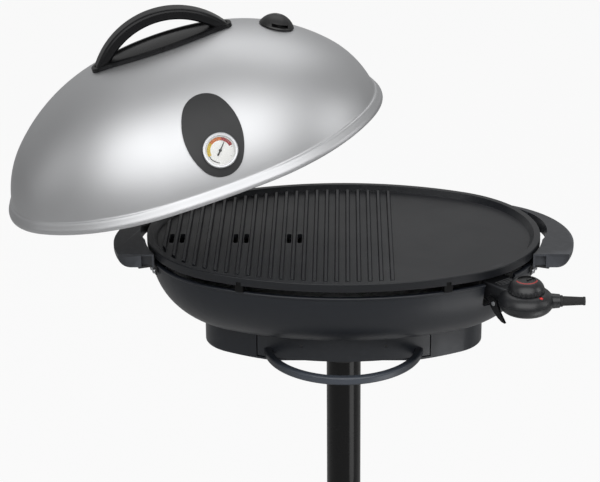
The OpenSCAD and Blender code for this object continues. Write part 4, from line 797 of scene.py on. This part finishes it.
# --- Thermometer ---
# A dark grey pear-shaped plate carries a chrome-bezelled dial thermometer, whose stem passes through the lid
# and is held by a nut inside.
plate_grey = glossy("dark_grey_plate", (0.020, 0.0205, 0.0215), 0.40, specular_ior_level=0.35)
chrome = glossy("polished_chrome", (0.40, 0.405, 0.415), 0.22, 1.0, ripple=0.000004)
clear_glass = new_finish("clear_glass", (1, 1, 1), 0.0, ior=1.12, transmission_weight=1.0)
turned_steel = drawn("turned_steel", (0.60, 0.61, 0.63), 0.25)
needle_black = glossy("needle_black", (0.010, 0.010, 0.011), 0.35)
refined("gauge_plate", "dial_plate", "lid", "gauge_plate", plate_grey, edge=0.0006)
refined("gauge_case", "dial_bezel", "lid", "bezel", chrome, edge=0.0002)
refined("gauge_glass", "dial_window", "lid", "lens", clear_glass, edge=0.0002)
refined("gauge_stem", "dial_stem", "lid", "stem", turned_steel)
refined("gauge_nut", "dial_nut", "lid", "screw", zinc_plate)
refined("gauge_needle", "dial_needle", "needle", "needle", needle_black, edge=0.0001)

dial_r, dial_t, dial_seat = 20.4, 0.8, 2.0  # the disc lies dial_seat above the dome
work = bmesh.new()
bmesh.ops.create_circle(work, cap_ends=True, segments=96, radius=dial_r)
faces = bmesh.ops.extrude_face_region(work, geom=work.faces[:])["geom"]
bmesh.ops.translate(work, verts=[g for g in faces if isinstance(g, bmesh.types.BMVert)], vec=(0, 0, dial_t))
bmesh.ops.recalc_face_normals(work, faces=work.faces)
uv = work.loops.layers.uv.new("face")
for f in work.faces:
    for loop in f.loops:
        loop[uv].uv = (0.5 + 0.5 * loop.vert.co.x / dial_r, 0.5 + 0.5 * loop.vert.co.y / dial_r)
dial_mesh = bpy.data.meshes.new("dial_face")
work.to_mesh(dial_mesh)
work.free()
DIAL = lifted @ GAUGE @ Matrix.Translation((0, 0, dial_seat))
dial_mesh.transform(DIAL)

dial_paint = new_finish("dial_paint", (0.80, 0.80, 0.78), 0.35)
tree = dial_paint.node_tree
uv_map = new_node(tree, "ShaderNodeUVMap", uv_map="face")
centre = new_node(tree, "ShaderNodeVectorMath", operation="SUBTRACT")
centre.inputs[1].default_value = (0.5, 0.5, 0)
away = new_node(tree, "ShaderNodeVectorMath", operation="LENGTH")
split = new_node(tree, "ShaderNodeSeparateXYZ")
angle = new_node(tree, "ShaderNodeMath", operation="ARCTAN2")
turnwise = map_range(tree, -math.pi, math.pi)
join(tree, [
    (uv_map.outputs[0], centre.inputs[0]), (centre.outputs[0], away.inputs[0]),
    (centre.outputs[0], split.inputs[0]), (split.outputs[0], angle.inputs[0]),
    (split.outputs[1], angle.inputs[1]), (angle.outputs[0], turnwise.inputs[0])])


def between(tree, value, low, high):
    """1 where the value lies between two limits."""
    over = new_node(tree, "ShaderNodeMath", operation="GREATER_THAN")
    under = new_node(tree, "ShaderNodeMath", operation="LESS_THAN")
    mask = new_node(tree, "ShaderNodeMath", operation="MULTIPLY")
    over.inputs[1].default_value, under.inputs[1].default_value = low, high
    join(tree, [(value, over.inputs[0]), (value, under.inputs[0]),
                (over.outputs[0], mask.inputs[0]), (under.outputs[0], mask.inputs[1])])
    return mask.outputs[0]


def times(tree, a, b):
    """One value times another."""
    product = new_node(tree, "ShaderNodeMath", operation="MULTIPLY")
    join(tree, [(a, product.inputs[0]), (b, product.inputs[1])])
    return product.outputs[0]


# Radii run from 0 in the middle to 0.5 at the dial's edge, angles from 0 at its bottom clockwise to 1
band = between(tree, away.outputs["Value"], 0.33, 0.445)
yellow, orange, dark_red = (0.62, 0.44, 0.03), (0.55, 0.14, 0.02), (0.30, 0.015, 0.015)
for low, high, colour in ((0.22, 0.40, yellow), (0.40, 0.56, orange), (0.56, 0.73, dark_red)):
    tint(dial_paint, times(tree, band, between(tree, turnwise.outputs[0], low, high)), colour)
low_arc = between(tree, away.outputs["Value"], 0.40, 0.43)
tint(dial_paint, times(tree, low_arc, between(tree, turnwise.outputs[0], 0.06, 0.22)), (0.02, 0.02, 0.02))
paper = effect(dial_paint, moulded_grain, Scale=2500.0)
relief(dial_paint, paper["Height"], 0.000005)
place_mesh("dial_face", dial_mesh, "lid", dial_paint, "dial", "gauge_dial")

# Scale marks: thin printed bars on an arc, the first at Start and the last Sweep further round
mark_tree, start, end = node_tree("scale_marks", {
    "Geometry": "Geometry", "Count": "Int", "Radius": "Float", "Start": "Float", "Sweep": "Float",
    "Length": "Float", "Width": "Float", "Finish": "Material"})
spots = new_node(mark_tree, "GeometryNodePoints")
number = new_node(mark_tree, "GeometryNodeInputIndex")
gaps = new_node(mark_tree, "ShaderNodeMath", operation="SUBTRACT")
gaps.inputs[1].default_value = 1
share = new_node(mark_tree, "ShaderNodeMath", operation="DIVIDE")
bearing = new_node(mark_tree, "ShaderNodeMath", operation="MULTIPLY_ADD")
across, upward = (new_node(mark_tree, "ShaderNodeMath", operation=o) for o in ("COSINE", "SINE"))
out_x, out_y = (new_node(mark_tree, "ShaderNodeMath", operation="MULTIPLY") for _ in range(2))
spot = new_node(mark_tree, "ShaderNodeCombineXYZ")
size = new_node(mark_tree, "ShaderNodeCombineXYZ")
size.inputs[2].default_value = 0.12
turn = new_node(mark_tree, "ShaderNodeCombineXYZ")
bar = new_node(mark_tree, "GeometryNodeMeshCube")
stand = new_node(mark_tree, "GeometryNodeInstanceOnPoints")
realize = new_node(mark_tree, "GeometryNodeRealizeInstances")
paint = new_node(mark_tree, "GeometryNodeSetMaterial")
join(mark_tree, [
    (start.outputs["Count"], spots.inputs["Count"]), (start.outputs["Count"], gaps.inputs[0]),
    (number.outputs[0], share.inputs[0]), (gaps.outputs[0], share.inputs[1]),
    (share.outputs[0], bearing.inputs[0]),
    (start.outputs["Sweep"], bearing.inputs[1]), (start.outputs["Start"], bearing.inputs[2]),
    (bearing.outputs[0], across.inputs[0]), (bearing.outputs[0], upward.inputs[0]),
    (across.outputs[0], out_x.inputs[0]), (start.outputs["Radius"], out_x.inputs[1]),
    (upward.outputs[0], out_y.inputs[0]), (start.outputs["Radius"], out_y.inputs[1]),
    (out_x.outputs[0], spot.inputs[0]), (out_y.outputs[0], spot.inputs[1]),
    (spot.outputs[0], spots.inputs["Position"]),
    (start.outputs["Length"], size.inputs[0]), (start.outputs["Width"], size.inputs[1]),
    (size.outputs[0], bar.inputs["Size"]), (bearing.outputs[0], turn.inputs[2]),
    (spots.outputs[0], stand.inputs["Points"]), (bar.outputs["Mesh"], stand.inputs["Instance"]),
    (turn.outputs[0], stand.inputs["Rotation"]), (stand.outputs[0], realize.inputs[0]),
    (realize.outputs[0], paint.inputs["Geometry"]), (start.outputs["Finish"], paint.inputs["Material"]),
    (paint.outputs[0], end.inputs[0])])
marks_r = 17.9  # their outer ends
for name, count, length, width in (("long_marks", 7, 2.6, 0.45), ("short_marks", 25, 1.3, 0.25)):
    marks_mesh = grown(name, bpy.data.meshes.new(name + "_base"), mark_tree, {
        "Count": count, "Radius": marks_r - length / 2, "Start": math.radians(225),
        "Sweep": math.radians(-270), "Length": length, "Width": width, "Finish": needle_black})
    marks_mesh.transform(DIAL @ Matrix.Translation((0, 0, dial_t)))
    place_mesh(name, marks_mesh, "lid", needle_black, "dial")


# --- Vent cap ---
# A domed cap moulded in satin black plastic turns on a rivet over four holes in the lid.
# It has an open slot at each side.
satin_black = grained("satin_black_plastic", (0.008, 0.008, 0.0085), 0.42, scale=1500.0, depth=0.00002)
refined("vent_cap", "vent_knob", "vent", "vent", satin_black, edge=0.0006)
refined("vent_rivet", "vent_pin", "lid", "screw", angle_steel, edge=0.0003)


# --- Thermostat plug ---
# Two moulded shells hold the thermostat, its probe and two sleeves. A fluted knob with a red arc turns on
# top, a red lens tells that it is on, and a hooked lever frees it from the socket. The cord leaves by the
# rubber sleeve at the right.
plug_black = grained("plug_moulding", (0.011, 0.0117, 0.0135), 0.32, scale=1500.0, depth=0.00003)
knob_black = grained("knob_moulding", (0.012, 0.0126, 0.0142), 0.28, scale=1500.0, depth=0.00002)
knob_points = np.array([v.co[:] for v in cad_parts["control_knob"].data.vertices])
knob_x, knob_y, _ = (knob_points.min(0) + knob_points.max(0)) / 2
disc_r, arc_r = 0.0132, 0.0152
arc_from, arc_to = -2.9, -0.1  # angles about the knob, -pi / 2 looks at its front
tree = knob_black.node_tree
place = new_node(tree, "ShaderNodeTexCoord")
centre = new_node(tree, "ShaderNodeVectorMath", operation="SUBTRACT")
centre.inputs[1].default_value = (knob_x, knob_y, 0)
flat = new_node(tree, "ShaderNodeVectorMath", operation="MULTIPLY")
flat.inputs[1].default_value = (1, 1, 0)
away = new_node(tree, "ShaderNodeVectorMath", operation="LENGTH")
split = new_node(tree, "ShaderNodeSeparateXYZ")
angle = new_node(tree, "ShaderNodeMath", operation="ARCTAN2")
join(tree, [
    (place.outputs["Object"], centre.inputs[0]), (centre.outputs[0], flat.inputs[0]),
    (flat.outputs[0], away.inputs[0]), (flat.outputs[0], split.inputs[0]),
    (split.outputs[1], angle.inputs[0]), (split.outputs[0], angle.inputs[1])])
tint(knob_black, between(tree, away.outputs["Value"], -1, disc_r), (0.003, 0.003, 0.0033))
front_arc = times(tree, between(tree, away.outputs["Value"], disc_r, arc_r),
                  between(tree, angle.outputs[0], arc_from, arc_to))
tint(knob_black, front_arc, (0.26, 0.013, 0.010))
signal_red = new_finish("signal_red", (0.62, 0.012, 0.010), 0.10, coat_weight=0.5)
marks = effect(signal_red, handling, Size=40.0)
shift_value(signal_red, "Roughness", marks["Smudge"], 0.08)
brown_moulding = grained("brown_moulding", (0.26, 0.17, 0.08), 0.5)
refined("plug_top", "upper_case", "plug", "plug_shell", plug_black, edge=0.0006)
refined("plug_bottom", "lower_case", "plug", "plug_shell", plug_black, edge=0.0006)
refined("contact_sleeves", "contact_tubes", "plug", "contact", bare_brass)
refined("probe_rod", "heat_probe", "plug", "stem", turned_steel)
refined("thermostat_switch", "switch_block", "plug", "switch", brown_moulding, edge=0.001)
refined("indicator_lens", "signal_lens", "plug", "indicator", signal_red)
screws("plug_screws", "case_screws", "plug", zinc_plate)
refined("strain_relief", "cord_sleeve", "plug", "rubber", black_rubber, edge=0.0005)
refined("lever_pin", "lever_pivot", "plug", "screw", zinc_plate)
refined("release_lever", "hooked_lever", "lever", "lever", gloss_black, edge=0.0008, steps=3)
refined("control_knob", "fluted_knob", "knob", "knob", knob_black, edge=0.0005, steps=3)
refined("knob_ring", "knob_mark", "knob", "ring", knob_black, edge=0.0001)
refined("knob_shaft", "knob_spindle", "knob", "stem", turned_steel)


low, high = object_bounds()
